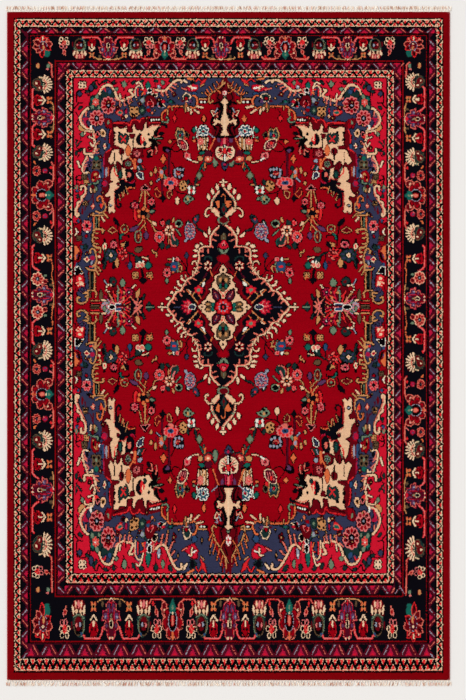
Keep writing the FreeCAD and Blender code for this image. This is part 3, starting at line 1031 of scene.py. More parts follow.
    def slate_flowers(self) -> None:
        """The flowers on the slate ground."""
        self.draw(
            (BLOB, (26, 27, 36, 26, 42, 28, 42, 48, 25, 48, 25, 34), FOREST, BLACK),
            (BLOB, (42, 20, 50, 22, 56, 16, 60, 24, 60, 29, 43, 29), FOREST, BLACK),
            (LEAF, 28, 31, 7, 5, 20, TEAL), (LEAF, 35, 27, 8, 5, 20, SAGE),
            (LEAF, 28, 43, 7, 5, 0, SAGE, FOREST), (OVAL, 38, 44, 2, 2.6, SAGE, BLACK),
            (LEAF, 54, 20, 8, 5, 10, BLUE, None), (ROSETTE, 33, 36, 5, 6, CORAL, SCARLET, PINK, 6),
            (OVAL, 32.5, 35.5, 1, 1, WHITE),
            (ROSETTE, 52, 40.5, 10.5, 13, PINK, RED, BLACK, 10, None, MIST),
            (ROSETTE, 34.5, 60, 11, 12, PINK, RED, BLACK, 9, None, MIST),
            (BLOB, (22, 60, 18, 66, 20, 72, 16, 68, 15, 60), ROSE),
            # between the top vine and the wine band
            (BLOB, (63, 51, 67, 48, 72, 48, 73, 51, 72, 56, 69, 56), SCARLET, WINE),
            (OVAL, 69.5, 51.5, 3, 2.2, TEAL, CORAL), (LINE, (79, 47, 79, 53), ROSE, 2.4, NAVY),
            (BUD, 79, 57, 2.4, PALE, BLACK, ORANGE), (CROSS, 91, 50, 8, TAN, BLACK, NAVY),
            (OVAL, 103, 48, 5, 6, FOREST, NAVY), (OVAL, 103, 48, 2, 2, SAGE),
            (LEAF, 103, 33, 9, 5.5, 30, MIST, SAGE), (LINE, (106, 28, 111, 24), FOREST, 2),
            (LINE, (101, 17, 106, 18, 107, 24), SCARLET, 2.2),
            (LINE, (103, 24, 105, 21), ORANGE, 2),
            # the dark rosette and its leaves
            (BLOB, (110, 27, 118, 26, 122, 30, 125, 38, 118, 43, 110, 44, 107, 36), WINE, BLACK),
            (SHAPE, (111, 38, 115, 32, 119, 37, 119, 42, 115, 40, 112, 42), SCARLET, PINK),
            (OVAL, 115.5, 38, 2, 2.6, RED, BLACK), (OVAL, 115, 33, 1.6, 1.6, BLACK),
            (LEAF, 112, 44, 5, 5, 90, BLUE, BURGUNDY), (LEAF, 113, 48, 5, 4, 90, RED, WINE),
            (BUD, 118, 52, 2.2, ORANGE, None, CORAL, 0, 1.2),
            (SHAPE, (127, 34, 130, 31, 131, 36, 138, 42, 130, 44, 127, 42), BLACK, MIST),
            (LINE, (133, 32, 134, 38, 138, 42), PALE, 1.8, BLACK),
            (LEAF, 135, 35, 6, 4, 90, CRIMSON, WINE), (OVAL, 129, 42, 1.4, 1.4, SCARLET),
            (LINE, (142, 35, 147, 34, 149, 38, 152, 38), FOREST, 2),
            (LEAF, 146, 35, 5, 4, 60, TEAL, None),
            # the red bird-shaped flower, and what hangs under it
            (SHAPE, (165, 16, 173, 13, 178, 9, 186, 10, 187, 15, 181, 20, 172, 18), CRIMSON, WINE),
            (LINE, (163, 15, 170, 17), CORAL, 1.8), (LINE, (173, 12, 177, 12, 178, 17), PALE, 2),
            (LINE, (179, 14, 184, 15), WHITE, 2.2), (LEAF, 182, 23, 8, 5, 90, BLUE, NAVY),
            (SHAPE, (169, 23, 173, 24, 176, 27, 173, 30, 173, 34, 166, 34, 165, 27), FOREST, PALE,
             1.2), (OVAL, 169.5, 30.5, 2.2, 2.6, RED, BLACK),
            (LEAF, 164, 34, 5, 5, 90, BURGUNDY, None), (LEAF, 175, 34, 7, 5, 0, PURPLE, None),
            # along the top edge
            (LINE, (152, 0, 166, -1), BLACK, 3), (LINE, (166, 3, 170, 6), PALE, 3, BLACK),
            (LINE, (172, 0, 180, 2), ORANGE, 3, BLACK), (LEAF, 179, 6, 8, 6, 90, NAVY, FOREST),
            (LINE, (184, 4, 188, 1, 193, 5), SCARLET, 2, BLACK),
            (SHAPE, (190, 10, 194, 3, 200, 0, 197, 6), SCARLET, WINE),
            (LINE, (191, 11, 196, 9), TAN, 1.6),
            # down the west side
            (LEAF, 36, 82, 8, 7, 0, BLACK), (LINE, (33, 84, 36, 80, 39, 84), PINK, 1.4),
            (BLOB, (40, 80, 43, 76, 48, 81, 47, 87, 42, 87), CREAM, BLACK),
            (OVAL, 44, 82.5, 2, 2.4, BLACK, TAN), (LEAF, 34, 88, 6, 5, 90, SCARLET, None),
            (LEAF, 47, 91, 5, 3, 0, BURGUNDY, None),
            (BUD, 46.5, 102, 2.6, PALE, NAVY, SCARLET, 0, 2), (LEAF, 53, 102, 8, 4, 0, BLUE, NAVY),
            (BLOB, (46, 61, 50, 60, 53, 64, 52, 72, 49, 70, 46, 67), WINE),
            (LEAF, 52, 66, 7, 3, 10, SAGE, None), (LEAF, 34, 120, 7, 7, 0, TEAL, FOREST),
            (LEAF, 24, 127, 10, 6, 20, SLATE, PURPLE),
            (CROSS, 34, 130, 8, BROWN, BLACK, None, 1.0), (OVAL, 34, 130.5, 1.5, 2.5, SAGE),
            (LEAF, 20, 137, 8, 5, 0, NAVY, None),
            (SHAPE, (26, 150, 27, 143, 31, 139, 37, 141, 39, 150, 35, 154, 28, 156), RED, WINE),
            (LINE, (29, 154, 31, 146, 34, 143, 35, 149), TAN, 1.6, WINE, 0.6),
            (OVAL, 30, 149, 1.3, 3, BLACK), (OVAL, 38.5, 147, 1, 2, WHITE),
            (LINE, (44, 134, 44, 148), BLUE, 3), (CROSS, 16, 148, 4.6, BROWN, BLACK),
            (CROSS, 19, 156, 4, TAN, BLACK),
            (LINE, (22, 160, 30, 158, 36, 157, 36, 154), SAGE, 2, FOREST),
            (LINE, (28, 160, 30, 162), FOREST, 4),
            (SHAPE, (25, 164, 29, 160, 34, 163, 36, 168, 31, 172, 24, 170), BROWN, BLACK),
            (OVAL, 28.5, 163, 2, 3, WINE, BLACK), (LINE, (25, 165, 26, 171), CREAM, 2),
            (LINE, (31, 167, 31, 171), TAN, 1.8), (LEAF, 34, 166, 7, 3, 0, SAGE, None),
            (LINE, (29, 173, 29, 185), BURGUNDY, 2),
            (LINE, (29, 174, 26, 182, 20, 187, 17, 198), BURGUNDY, 1.8),
            (BUD, 29, 192, 2.6, CORAL, BURGUNDY, PALE, 0, 1.6),
            (CROSS, 17, 188, 3.4, BLACK, TAN, BROWN), (LEAF, 13, 199, 12, 4, 0, WINE, None),
            (OVAL, 46, 158, 4, 4, ROSE, SLATE), (OVAL, 45.5, 156.5, 1.6, 1.4, CRIMSON),
            (ROSETTE, 19.5, 222, 7, 8.5, PINK, CRIMSON, NAVY, 7),
            (LINE, (19, 231, 22, 231), WHITE, 1.8, BLACK), (LEAF, 19, 237, 6, 4, 30, RED, None),
            (LEAF, 12, 250, 7, 3, 80, BURGUNDY, None), (LEAF, 13, 254, 6, 5, 90, BLUE, FOREST),
            (CROSS, 17, 254, 4.4, FOREST, BLACK, None),
            (BUD, 19.5, 272, 4.8, PALE, None, None, 0, 1),
            (BUD, 19.5, 272, 3, CRIMSON, None, WINE, 0, 1),
            (OVAL, 28, 270, 3.4, 3.4, ROSE, PURPLE), (LEAF, 27, 277, 6, 3, 20, MIST, None),
            (OVAL, 4, 280, 2, 3, BLUE), (LEAF, 13, 317, 8, 8, 90, SLATE, PURPLE))
        # small dark flowers that fill the ground between them
        for across, along in ((52, 36), (66, 44), (74, 60), (90, 58), (99, 38), (128, 32),
                              (151, 24), (40, 118), (24, 105), (44, 172), (26, 205), (23, 262),
                              (110, 60)):
            self.quatrefoil(across, along, 4, BLACK, WINE, None, 1, 20, TAN)
        for across, along in ((60, 42), (72, 40), (84, 42), (86, 36), (95, 32), (122, 48),
                              (142, 28), (157, 12), (158, 30), (193, 22), (205, 14), (36, 70),
                              (38, 98), (38, 106), (24, 142), (38, 184), (22, 208), (18, 264),
                              (12, 290)):
            self.bud(across, along, 2.2, BLACK, None, TAN, 0, 1.5)

    def wine_band(self) -> None:
        """The dark jagged band inside the slate ground, and the ornament bars that break it."""
        self.draw(
            (SHAPE, (57, 76, 57, 70, 54, 62, 58, 66, 70, 66, 82, 66, 87, 62, 97, 62, 101, 60,
             108, 57, 131, 57, 132, 69, 112, 74, 104, 105, 80, 135, 62, 160, 56, 190, 57, 205,
             49, 205, 48, 188, 44, 178, 42, 165, 46, 160, 50, 153, 43, 151, 44, 130, 45, 115,
             47, 111, 54, 106, 53, 92, 55, 82), WINE),
            (LINE, (60, 67, 68, 67, 80, 67, 84, 72, 88, 63, 97, 63, 99, 66, 102, 61, 108, 59,
             114, 59), SCARLET, 1.6),
            (LINE, (56, 78, 54, 86, 54, 100, 56, 106, 49, 111), SCARLET, 1.6),
            (LINE, (46, 115, 45, 130, 45, 146, 43, 150), ROSE, 1.6),
            (LINE, (60, 70, 72, 71, 80, 72), BLACK, 1.6), (LEAF, 49, 140, 16, 4, 0, MIST, WINE),
            (LINE, (52, 134, 52, 146), ORANGE, 1.6),
            # ornament bars with pale beads
            (LINE, (114, 62.5, 131, 62.5), BLACK, 4.5),
            (BEADS, (117, 62.5), (128, 62), 4, 1.4, WHITE),
            (LINE, (113, 66.5, 131, 66.5), SCARLET, 1.8, WINE),
            (LINE, (187, 31, 200, 31), TAN, 1.6), (LINE, (188, 35.5, 200, 35.5), BLACK, 5),
            (BEADS, (192, 35.5), (197, 35.5), 2, 1.7, WHITE), (LINE, (34, 209, 34, 225), BLACK, 8),
            (LINE, (30.5, 209, 30.5, 225), ORANGE, 1.6), (LINE, (34, 210, 34, 224), SAGE, 1.4),
            (LINE, (38, 209, 38, 225), TAN, 1.4), (LINE, (27.5, 291, 27.5, 316), BLACK, 8.5),
            (LINE, (24.5, 291, 24.5, 316), BROWN, 1.6), (LINE, (28, 296, 28, 312), FOREST, 1.6),
            (LINE, (31, 290, 31.5, 317), TAN, 1.6), (BUD, 31.5, 310, 1.6, ORANGE, None))

    def orange_scrolls(self) -> None:
        """The orange scrolls between the slate ground and the red field."""
        self.draw(
            (LINE, (35, 184, 36, 179, 40, 177, 43, 181, 44, 189, 41, 195), ORANGE, 2.2, BLACK),
            (LEAF, 41, 191, 6, 4, 0, SCARLET, None),
            (LINE, (47, 188, 48, 194, 46, 200, 40, 202, 33, 200), TAN, 1.8),
            (LINE, (29, 203, 30, 206, 44, 206), TAN, 2.2, BLACK),
            (LINE, (45, 203, 51, 209), TAN, 2, BLACK),
            (LINE, (42, 209, 46, 214), CREAM, 2.4, BLACK),
            (LINE, (43, 232, 45, 229, 42, 227, 32, 227, 29, 234, 29, 247, 33, 254, 40, 255,
             40, 261, 37, 261), TAN, 2.4, BLACK, 1.2))
        for along in (232, 239, 248):
            self.line([(30, along), (36, along + 1)], TAN, 2, BLACK, 0.8)
        self.draw(
            (LINE, (25, 263, 25, 258, 29, 256, 32, 260, 34, 268, 34, 276, 30, 281), TAN, 2.2,
             BLACK), (BEADS, (38.5, 268), (38.5, 277), 2, 2, CREAM),
            (LINE, (36, 283, 41, 290), TAN, 2, BLACK),
            (LINE, (19, 285, 24, 288, 33, 289, 37, 295), TAN, 2.2, BLACK),
            (LINE, (28, 283, 33, 281, 33, 288), TAN, 3), (LEAF, 26, 283, 5, 3, 90, SCARLET, None),
            # the end of the slate ground, round the side palmette
            (LINE, (9, 330, 6, 329, 5, 335, 9, 338, 15, 338, 20, 334, 21, 328), TAN, 2.2, BLACK),
            (LINE, (15, 323, 20, 322, 22, 326, 18, 328), TAN, 2.6, BLACK),
            (LINE, (21, 319, 30, 319, 34, 323, 33, 329), TAN, 2.2, BLACK),
            (LINE, (25, 321, 24, 329), BROWN, 2, BLACK),
            # the top edge's scroll, and the notched line down to the bar
            (LINE, (133, 66, 133, 53, 141, 46, 145, 42, 164, 42), ORANGE, 2.4, BLACK),
            (LINE, (133, 65, 140, 66, 142, 62, 140, 58), SAGE, 2, BLACK),
            (LINE, (141, 47, 141, 55), TAN, 1.8, BLACK),
            (LINE, (148, 42, 148, 47), TAN, 1.6, BLACK), (LINE, (159, 42, 158, 46), BLACK, 1.6),
            (LINE, (155, 47, 152, 52), BLACK, 1.6),
            (BLOB, (168, 38, 172, 39, 174, 46, 167, 47, 165, 43), BROWN, BLACK),
            (LINE, (169, 37, 169, 48), ORANGE, 1.8), (LINE, (168, 45, 168, 50), TAN, 2, BLACK),
            (LINE, (179, 26, 183, 27, 186, 33, 185, 40, 181, 45, 176, 43), ORANGE, 2.4, BLACK))
        for start, end in (((172, 44), (173, 48)), ((176, 46), (177, 53)), ((182, 47), (188, 52)),
                           ((185, 42), (194, 44))):
            self.line([start, end], CREAM, 2.6, BLACK)

    def cream_figure(self) -> None:
        """The cream figure between the wine band and the red field."""
        body = (60, 74, 66, 73, 70, 76, 76, 75, 79, 73, 80, 82, 88, 82, 90, 80, 88, 73, 91, 69,
                93, 76, 97, 79, 100, 78, 103, 80, 106, 75, 106, 70, 109, 66, 110, 76, 114, 73,
                118, 70, 132, 70, 128, 75, 122, 80, 120, 85, 117, 90, 118, 97, 113, 104, 104, 104,
                98, 104, 90, 108, 84, 116, 84, 119, 76, 122, 73, 124, 72, 131, 69, 126, 66, 124,
                62, 131, 60, 125, 56, 129, 52, 124, 55, 118, 58, 108, 66, 106, 62, 101, 61, 100,
                62, 97, 61, 90, 62, 86)
        self.draw(
            (SHAPE, body, CREAM, BLACK, 1.4), (LINE, (114, 74, 120, 71, 131, 71), CORAL, 1.4))
        stem = (60, 133, 63, 136, 65, 143, 66, 150, 70, 157, 70, 162, 65, 166, 61, 172, 60, 190,
                62, 200, 60, 202, 57, 199, 54, 203, 52, 200, 52, 187, 56, 182, 55, 177, 49, 178,
                47, 176, 52, 171, 54, 165, 54, 158, 60, 155, 55, 151, 56, 141, 58, 134)
        self.draw(
            (SHAPE, stem, CREAM, BLACK, 1.2), (LINE, (61, 173, 61, 197), CORAL, 1.4),
            (LINE, (62, 168, 69, 163), CORAL, 1.6),
            (LINE, (61, 135, 62, 142, 66, 148), SCARLET, 1.8),
            (LINE, (63, 133, 65, 139), SAGE, 1.4),
            (SHAPE, (72, 134, 78, 137, 78, 146, 80, 154, 76, 150, 72, 153, 74, 146), CREAM, BLACK),
            (LINE, (72, 152, 76, 150, 79, 153), CORAL, 1.4),
            (LEAF, 70, 144, 13, 6, 0, FOREST, BLACK, TEAL), (LEAF, 67, 158.5, 5, 4, 0, WINE),
            (OVAL, 55.5, 191, 2.6, 2.6, BLACK), (OVAL, 55.5, 191, 1, 1, MIST),
            # the butterfly, the funnel and the two-coloured flower on it
            (BLOB, (68, 84, 73, 83, 75, 86, 77, 83, 82, 86, 82, 93, 79, 99, 75, 96, 70, 98,
             67, 92), FOREST, BLACK, 0.8), (LINE, (71, 87, 78, 95), SCARLET, 1.8),
            (LINE, (78, 87, 72, 95), SCARLET, 1.8), (OVAL, 68.5, 81, 2, 2, BLACK),
            (SHAPE, (84, 84, 92, 84, 90, 90, 86, 90), WINE, BLACK),
            (LINE, (89, 90, 89, 104), BLACK, 2),
            (BLOB, (94, 92, 97, 86, 101, 84, 102, 98, 98, 99), NAVY, BLACK),
            (BLOB, (101, 85, 105, 88, 107, 93, 103, 99, 101, 98), SCARLET),
            (LINE, (103, 87, 104, 93), PALE, 1.8), (OVAL, 107, 98, 2, 3, FOREST, BLACK))
        for across, along in ((113, 84), (114, 92), (107, 105), (61, 82), (61, 92)):
            self.oval(across, along, 2, 2.4, BLACK)
        self.draw(
            (LEAF, 82, 108, 17, 8, 0, ORANGE, WINE), (OVAL, 72, 110, 3.4, 5, WINE, BLACK),
            (LINE, (61, 103, 66, 104), WINE, 5, BLACK, 0.6),
            (LINE, (61, 112, 61, 124), BLACK, 1.8), (LINE, (73, 108, 72, 122), BLACK, 2.4),
            (LINE, (66, 127, 66, 134), WINE, 3.4, BLACK),
            # the dark block to its east
            (SHAPE, (88, 108, 92, 104, 97, 106, 103, 105, 104, 118, 88, 119), WINE, BLACK),
            (ROSETTE, 95, 113, 4.6, 4.6, PINK, WINE, BLACK, 6),
            (SHAPE, (78, 122, 86, 123, 88, 133, 82, 137, 75, 134, 74, 127), WINE, BLACK),
            (ROSETTE, 81.5, 128.5, 4.6, 4.6, SAGE, BLACK, BLACK, 6, None, MIST),
            (LINE, (84, 119, 90, 126, 92, 136), ORANGE, 2), (LINE, (86, 137, 88, 135), PALE, 2.4))

    def navy_scrolls(self) -> None:
        """The dark scrolls that edge the cream figure on the red field's side."""
        # towards the medallion's axis
        self.draw(
            (SHAPE, (131, 69, 128, 77, 126, 84, 130, 90, 125, 94, 128, 103, 122, 108, 116, 104,
             119, 97, 114, 96, 113, 91, 122, 88, 120, 80, 126, 74), BLACK),
            (LINE, (118, 89, 126, 88, 134, 90), BLACK, 4), (LINE, (120, 90, 133, 90.5), SAGE, 1.2),
            (LINE, (122, 89, 130, 86), CORAL, 1.4), (LEAF, 132, 83, 8, 5, 80, NAVY),
            (LINE, (133, 69, 139, 71, 139, 73), NAVY, 4),
            (LINE, (125, 95, 128, 98, 130, 97), BROWN, 1.2),
            (LINE, (123, 103, 125, 108, 124, 113), CORAL, 1.8),
            (LINE, (112, 110, 118, 108, 117, 116), CORAL, 1.6, BLACK, 2),
            (LEAF, 113, 116, 8, 5, 30, NAVY),
            # below the cream figure's corner
            (BLOB, (78, 138, 86, 137, 91, 143, 90, 151, 84, 156, 80, 152, 83, 147, 79, 146), NAVY,
             BLACK, 0.6), (OVAL, 84, 144.5, 2.6, 4, CORAL),
            (SHAPE, (67, 156, 71, 153, 75, 152, 77, 156, 88, 158, 92, 155, 93, 165, 88, 164,
             82, 162, 80, 167, 82, 174, 78, 172, 74, 168, 74, 178, 70, 172, 68, 170, 70, 182,
             66, 180, 64, 172, 61, 170, 68, 165, 71, 160), NAVY, BLACK, 0.6),
            (LINE, (85, 157, 89, 157, 92, 154), ROSE, 1.4),
            (LINE, (80, 166, 86, 164, 92, 165), ORANGE, 1.4))
        for start, end in (((72, 170), (74, 178)), ((76, 168), (75, 176)), ((78, 162), (81, 173)),
                           ((68, 174), (70, 183))):
            self.line([start, end], TAN, 1)
        self.draw(
            (LINE, (64, 172, 64, 186, 65, 192, 69, 194, 71, 190, 69, 188), NAVY, 3),
            (LINE, (84, 167, 87, 167), BLACK, 2.4))

    def top_flowers(self) -> None:
        """The flowers that climb the red field from the medallion's shoulder to the top."""
        self.draw(
            (BUD, 152, 60, 2.6, SCARLET, BLACK, None, 0, 2),
            (BUD, 196, 61, 3, ORANGE, BLACK, None, 0, 2), (LINE, (196, 66, 195, 72), BLACK, 2),
            (LINE, (213, 44, 217, 43, 213, 50), MIST, 1.4),
            # blue and white rosette over the speckled oval
            (LEAF, 182, 77, 8, 5, 20, TEAL, FOREST),
            (LINE, (184, 73, 186, 80, 185, 88), WHITE, 1.6, BLACK),
            (ROSETTE, 195, 79, 8.5, 9, WHITE, SLATE, BLACK, 7, BLACK, CRIMSON),
            (ROSETTE, 195, 79, 5.6, 6, BLUE, TEAL, BLACK, 7),
            (OVAL, 195, 79.5, 2.2, 2.6, CRIMSON, WHITE, 0.9), (LEAF, 181, 89, 4, 3, 80, SAGE),
            (LEAF, 181, 93.5, 5, 3, 100, ORANGE),
            (BLOB, (186, 89, 195, 87, 202, 89, 203, 100, 200, 108, 193, 110, 187, 107, 185, 98),
             BLACK))
        for number in range(7):
            top, foot = (187 + 2.4 * number, 90), (188 + 2.1 * number, 107 - number % 3)
            self.line([top, foot], TAN if number % 2 else PALE, 1.6)
        for across, along in ((189, 101), (193, 104), (197, 101), (201, 96), (195, 92),
                              (200, 105)):
            self.oval(across, along, 1, 1.4, BLACK)
        self.draw(
            (ROSETTE, 190.5, 95, 4.6, 5.4, CORAL, PINK, SCARLET, 6, BLACK, PALE),
            (LEAF, 193, 112, 9, 5, 80, TEAL),
            (BLOB, (199, 109, 205, 109, 208, 114, 203, 118, 198, 115), BURGUNDY, BLACK),
            (ROSETTE, 202, 121, 5, 4, CORAL, ORANGE, PALE, 6),
            (LINE, (196, 126, 194, 130, 190, 137), TEAL, 1.6, BLACK),
            (LINE, (197, 127, 198, 134), ORANGE, 2.2, BLACK),
            (LINE, (195, 134, 196, 138), TEAL, 1.4),
            (BLOB, (188, 117, 193, 118, 194, 122, 190, 124, 187, 121), TAN, BLACK),
            (LEAF, 213, 124, 17, 7, 0, SAGE, FOREST),
            (LINE, (196, 116, 196, 124, 202, 128, 209, 126), FOREST, 2),
            # sage star and the long oval below it
            (SHAPE, (157, 75, 160, 79, 164, 76, 166, 84, 165, 92, 156, 92, 154, 85), FOREST, TAN,
             1.3), (OVAL, 160, 86, 2.4, 3.6, CRIMSON, SAGE), (OVAL, 164, 84, 1.4, 3, BLUE),
            (BLOB, (158, 92, 165, 93, 170, 99, 170, 106, 163, 106, 158, 99), BURGUNDY, PALE, 1.2))
        for start in (160, 163, 166):
            self.line([(start, 95), (start + 2, 104)], PINK, 1)
        self.draw(
            (OVAL, 163, 97, 2, 2.6, SCARLET, BLACK, 0.7), (LEAF, 170, 85, 8, 5, 0, BLACK, BROWN),
            (OVAL, 169, 91, 2, 2, SCARLET), (BUD, 145, 95, 3.2, ORANGE, BLACK, TAN, 0, 1),
            (LINE, (148, 92, 155, 92), BLACK, 1.2),
            (BLOB, (134, 103, 141, 102, 147, 106, 144, 113, 138, 112, 134, 109), BLACK),
            (BLOB, (138, 107, 144, 107, 142, 112), PURPLE),
            (LINE, (147, 105, 151, 110, 158, 109, 162, 106, 165, 112), BLACK, 1.6),
            (LINE, (147, 104, 151, 99, 155, 95), BLACK, 1.4),
            (LINE, (144, 112, 143.5, 130, 144, 150), BURGUNDY, 3, BLACK, 0.6),
            (LINE, (147, 125, 152, 134), BLACK, 1.8),
            (SHAPE, (169, 111, 175, 113, 176, 119, 170, 122, 166, 118, 166, 113), PINK, BLACK),
            (OVAL, 170.5, 116, 2, 3, CRIMSON), (LINE, (172, 120, 176, 123), WHITE, 2.6),
            (LINE, (179, 125, 187, 126), CREAM, 1.8, BLACK),
            (SHAPE, (135, 114, 137, 118, 140, 122, 137, 124, 135, 128, 133, 124, 130, 122,
             133, 118), ORANGE, BLACK),
            # the spray of four leaves
            (BLOB, (129, 134, 132, 137, 136, 143, 133, 150, 128, 152, 130, 143), ORANGE, BLACK,
             0.8), (OVAL, 132, 141, 2.4, 2.8, MIST, CORAL), (LEAF, 137, 135, 8, 5, 20, FOREST),
            (LEAF, 137, 148, 9, 4, -20, SAGE), (LINE, (130, 150, 125, 155), MIST, 1.8, BLACK))
        for across, along, long in ((123, 138, 10), (116.5, 143.5, 7), (116.5, 157, 6)):
            self.leaf(across, along, long, 4, 0, TAN)
        self.draw(
            (LEAF, 124, 147, 6, 3, 0, BURGUNDY, None),
            # the fan
            (BLOB, (150, 138, 156, 134, 164, 134, 165, 142, 162, 151, 155, 150, 150, 146), NAVY,
             BLACK))
        for across, along in ((152, 138), (156, 136), (160, 137), (164, 137), (163, 146),
                              (153, 147), (152, 143), (159, 148)):
            self.oval(across, along, 1.5, 2.2, MIST)
        self.draw(
            (OVAL, 157, 142, 4, 4, RED), (LINE, (154, 141, 157, 144, 161, 142), CORAL, 1.2),
            # the pink rosette and the flowers hung from it
            (ROSETTE, 146, 157, 11, 8.5, PINK, SCARLET, BLUE, 9, None, NAVY),
            (OVAL, 146, 164, 3.4, 2.6, CORAL, PINK), (OVAL, 141, 163, 3, 2, BLACK),
            (BLOB, (160, 157, 165, 154, 170, 157, 170, 165, 165, 169, 160, 166), TAN, BLACK))
        for across, along in ((162, 159), (165, 156), (168, 162), (163.5, 165)):
            self.oval(across, along, 1.6, 1.8, BLACK)
        self.draw(
            (LEAF, 172, 156, 8, 4, 10, FOREST),
            (SHAPE, (172, 164, 177, 160, 182, 163, 183, 171, 179, 175, 173, 174), FOREST, BLACK))
        for across, along in ((173.5, 165), (181, 165), (174, 171), (180.5, 171)):
            self.oval(across, along, 1.8, 2.8, WHITE)
        self.draw(
            (OVAL, 177, 163, 1.4, 2.6, SAGE), (BUD, 177, 169, 2.4, SCARLET, None, RED, 0, 1.6),
            (BLOB, (165, 181, 171, 176, 177, 178, 181, 182, 176, 184, 172, 189, 167, 186), SAGE,
             BLACK))
        for across, along in ((169, 182), (176, 181), (172, 186)):
            self.oval(across, along, 1.8, 1.8, BLACK)
        self.draw(
            (OVAL, 172, 181, 1.4, 3, TAN), (LINE, (151, 163, 156, 171, 170, 174), BLACK, 1.8),
            (LINE, (156, 170, 156, 180), BLACK, 1.6), (LEAF, 156, 184, 12, 6, 0, CREAM),
            (LINE, (152, 162, 160, 163), BLACK, 1.4),
            (LINE, (185, 149, 183, 160, 188, 160), FOREST, 2.4, BLACK, 0.6),
            (LINE, (184, 160, 188, 160), TAN, 1.8),
            (BUD, 189, 146, 3.8, SAGE, BROWN, None, 0, 1.5),
            (LINE, (173, 160, 175, 156, 178, 162), BLACK, 1.6),
            # the two empty leaves
            (BLOB, (124, 165, 128, 170, 131, 173, 127, 178, 123, 173), WINE, ORANGE, 0.9),
            (BLOB, (142, 171, 147, 170, 146, 176, 143, 180, 141, 175), WINE, TAN, 0.9),
            (LINE, (134, 152, 133, 160, 133, 168, 134, 178), BURGUNDY, 2.4, BLACK, 0.6),
            (SHAPE, (134, 174, 136, 179, 139, 180, 136, 182, 134, 186, 132, 182, 129, 180,
             132, 179), NAVY, BLACK))

    def side_flowers(self) -> None:
        """The flowers on the red field beside the medallion's upper half."""
        self.draw(
            (BLOB, (112, 180, 120, 179, 122, 190, 124, 193, 120, 196, 123, 200, 116, 204, 112, 200,
             114, 192, 112, 188), BLACK), (ROSETTE, 117, 185.5, 4.4, 5, PINK, CRIMSON, BLACK, 6),
            (LEAF, 121, 193, 6, 4, 60, NAVY, None), (LEAF, 118, 200, 8, 4, 80, SAGE, FOREST),
            (LEAF, 111, 200, 8, 4, 0, CORAL, WINE),
            (SHAPE, (107, 160, 114, 167, 101, 167), BLACK, PINK, 1.1),
            (LINE, (107, 169, 107, 196), TAN, 1.8, BLACK, 0.7),
            (LINE, (103, 170, 101, 178, 99, 186), TAN, 1.4, BLACK, 0.7),
            (LINE, (110, 170, 114, 177), TAN, 1.6, BLACK, 0.7),
            (ROSETTE, 92, 191, 8, 8, NAVY, BLACK, PINK, 6),
            (ROSETTE, 92, 191, 5, 5, PINK, ROSE, RED, 6),
            (LINE, (92, 198, 92, 206, 94, 212), SCARLET, 3.4), (OVAL, 105, 203, 5, 5, NAVY, BLACK))
        for across, along in ((98, 200), (98.5, 207), (105, 196), (111, 199), (105, 208.5)):
            self.oval(across, along, 2.4, 2.6, ORANGE, BLACK, 0.7)
        self.draw(
            (OVAL, 112, 207, 2.4, 3, BROWN, BLACK, 0.7),
            (LINE, (104, 212, 100, 218, 94, 223), TAN, 1.4), (LEAF, 91, 226, 16, 6, 62, PURPLE),
            (LINE, (107, 211, 107, 222, 109, 230), ORANGE, 1.4, BLACK, 0.6),
            (LINE, (110, 210, 117, 217, 122, 228, 128, 230), TAN, 1.5, BLACK, 0.7),
            (LINE, (108, 218, 101, 226, 97, 231), TAN, 1.4, BLACK, 0.6),
            (OVAL, 97, 238, 4, 8, WINE, SAGE, 1.4),
            (OVAL, 97.5, 238, 1.4, 3.2, ORANGE, BLACK, 0.7),
            (LEAF, 109, 236, 12, 7, 0, PURPLE, NAVY), (OVAL, 99.5, 124, 3.4, 3, MIST, BLACK, 0.7),
            (BLOB, (95, 134, 99, 130, 104, 132, 107, 137, 101, 138, 96, 138), FOREST, BLACK),
            (LINE, (96, 132, 99, 137), MIST, 1.8), (LINE, (103, 131, 106, 136), SCARLET, 1.8),
            (SHAPE, (95, 143, 98, 141, 103, 142, 104, 151, 100, 150, 96, 147), SLATE, WHITE),
            (LINE, (92, 122, 93, 135), ORANGE, 2.4),
            (SHAPE, (118, 215, 123, 216, 125, 222, 119, 220), CREAM, BLACK),
            (LEAF, 134, 216, 13, 9, 0, BLACK, None),
            (ROSETTE, 134, 217.5, 3.6, 4, PINK, SCARLET, CRIMSON, 6),
            (LEAF, 142, 217, 10, 6, 30, FOREST),
            (LEAF, 150, 213, 9, 3.4, 15, TAN, BLACK, None, 0.8),
            (OVAL, 158, 218.5, 4, 4, BLACK, SAGE, 1.6), (OVAL, 155, 222, 1.4, 1.2, CREAM),
            (LEAF, 172, 217, 8, 4.5, 20, FOREST, BLACK, WHITE),
            (ROSETTE, 144, 229, 7.5, 8.5, CORAL, PALE, BLACK, 7, BLACK, ORANGE))
        for number in range(7):
            turn = 2 * math.pi * (number + 0.5) / 7
            self.line([(144 + 3 * math.sin(turn), 229 + 3 * math.cos(turn)),
                      (144 + 8 * math.sin(turn), 229 + 9 * math.cos(turn))], BLACK, 1)
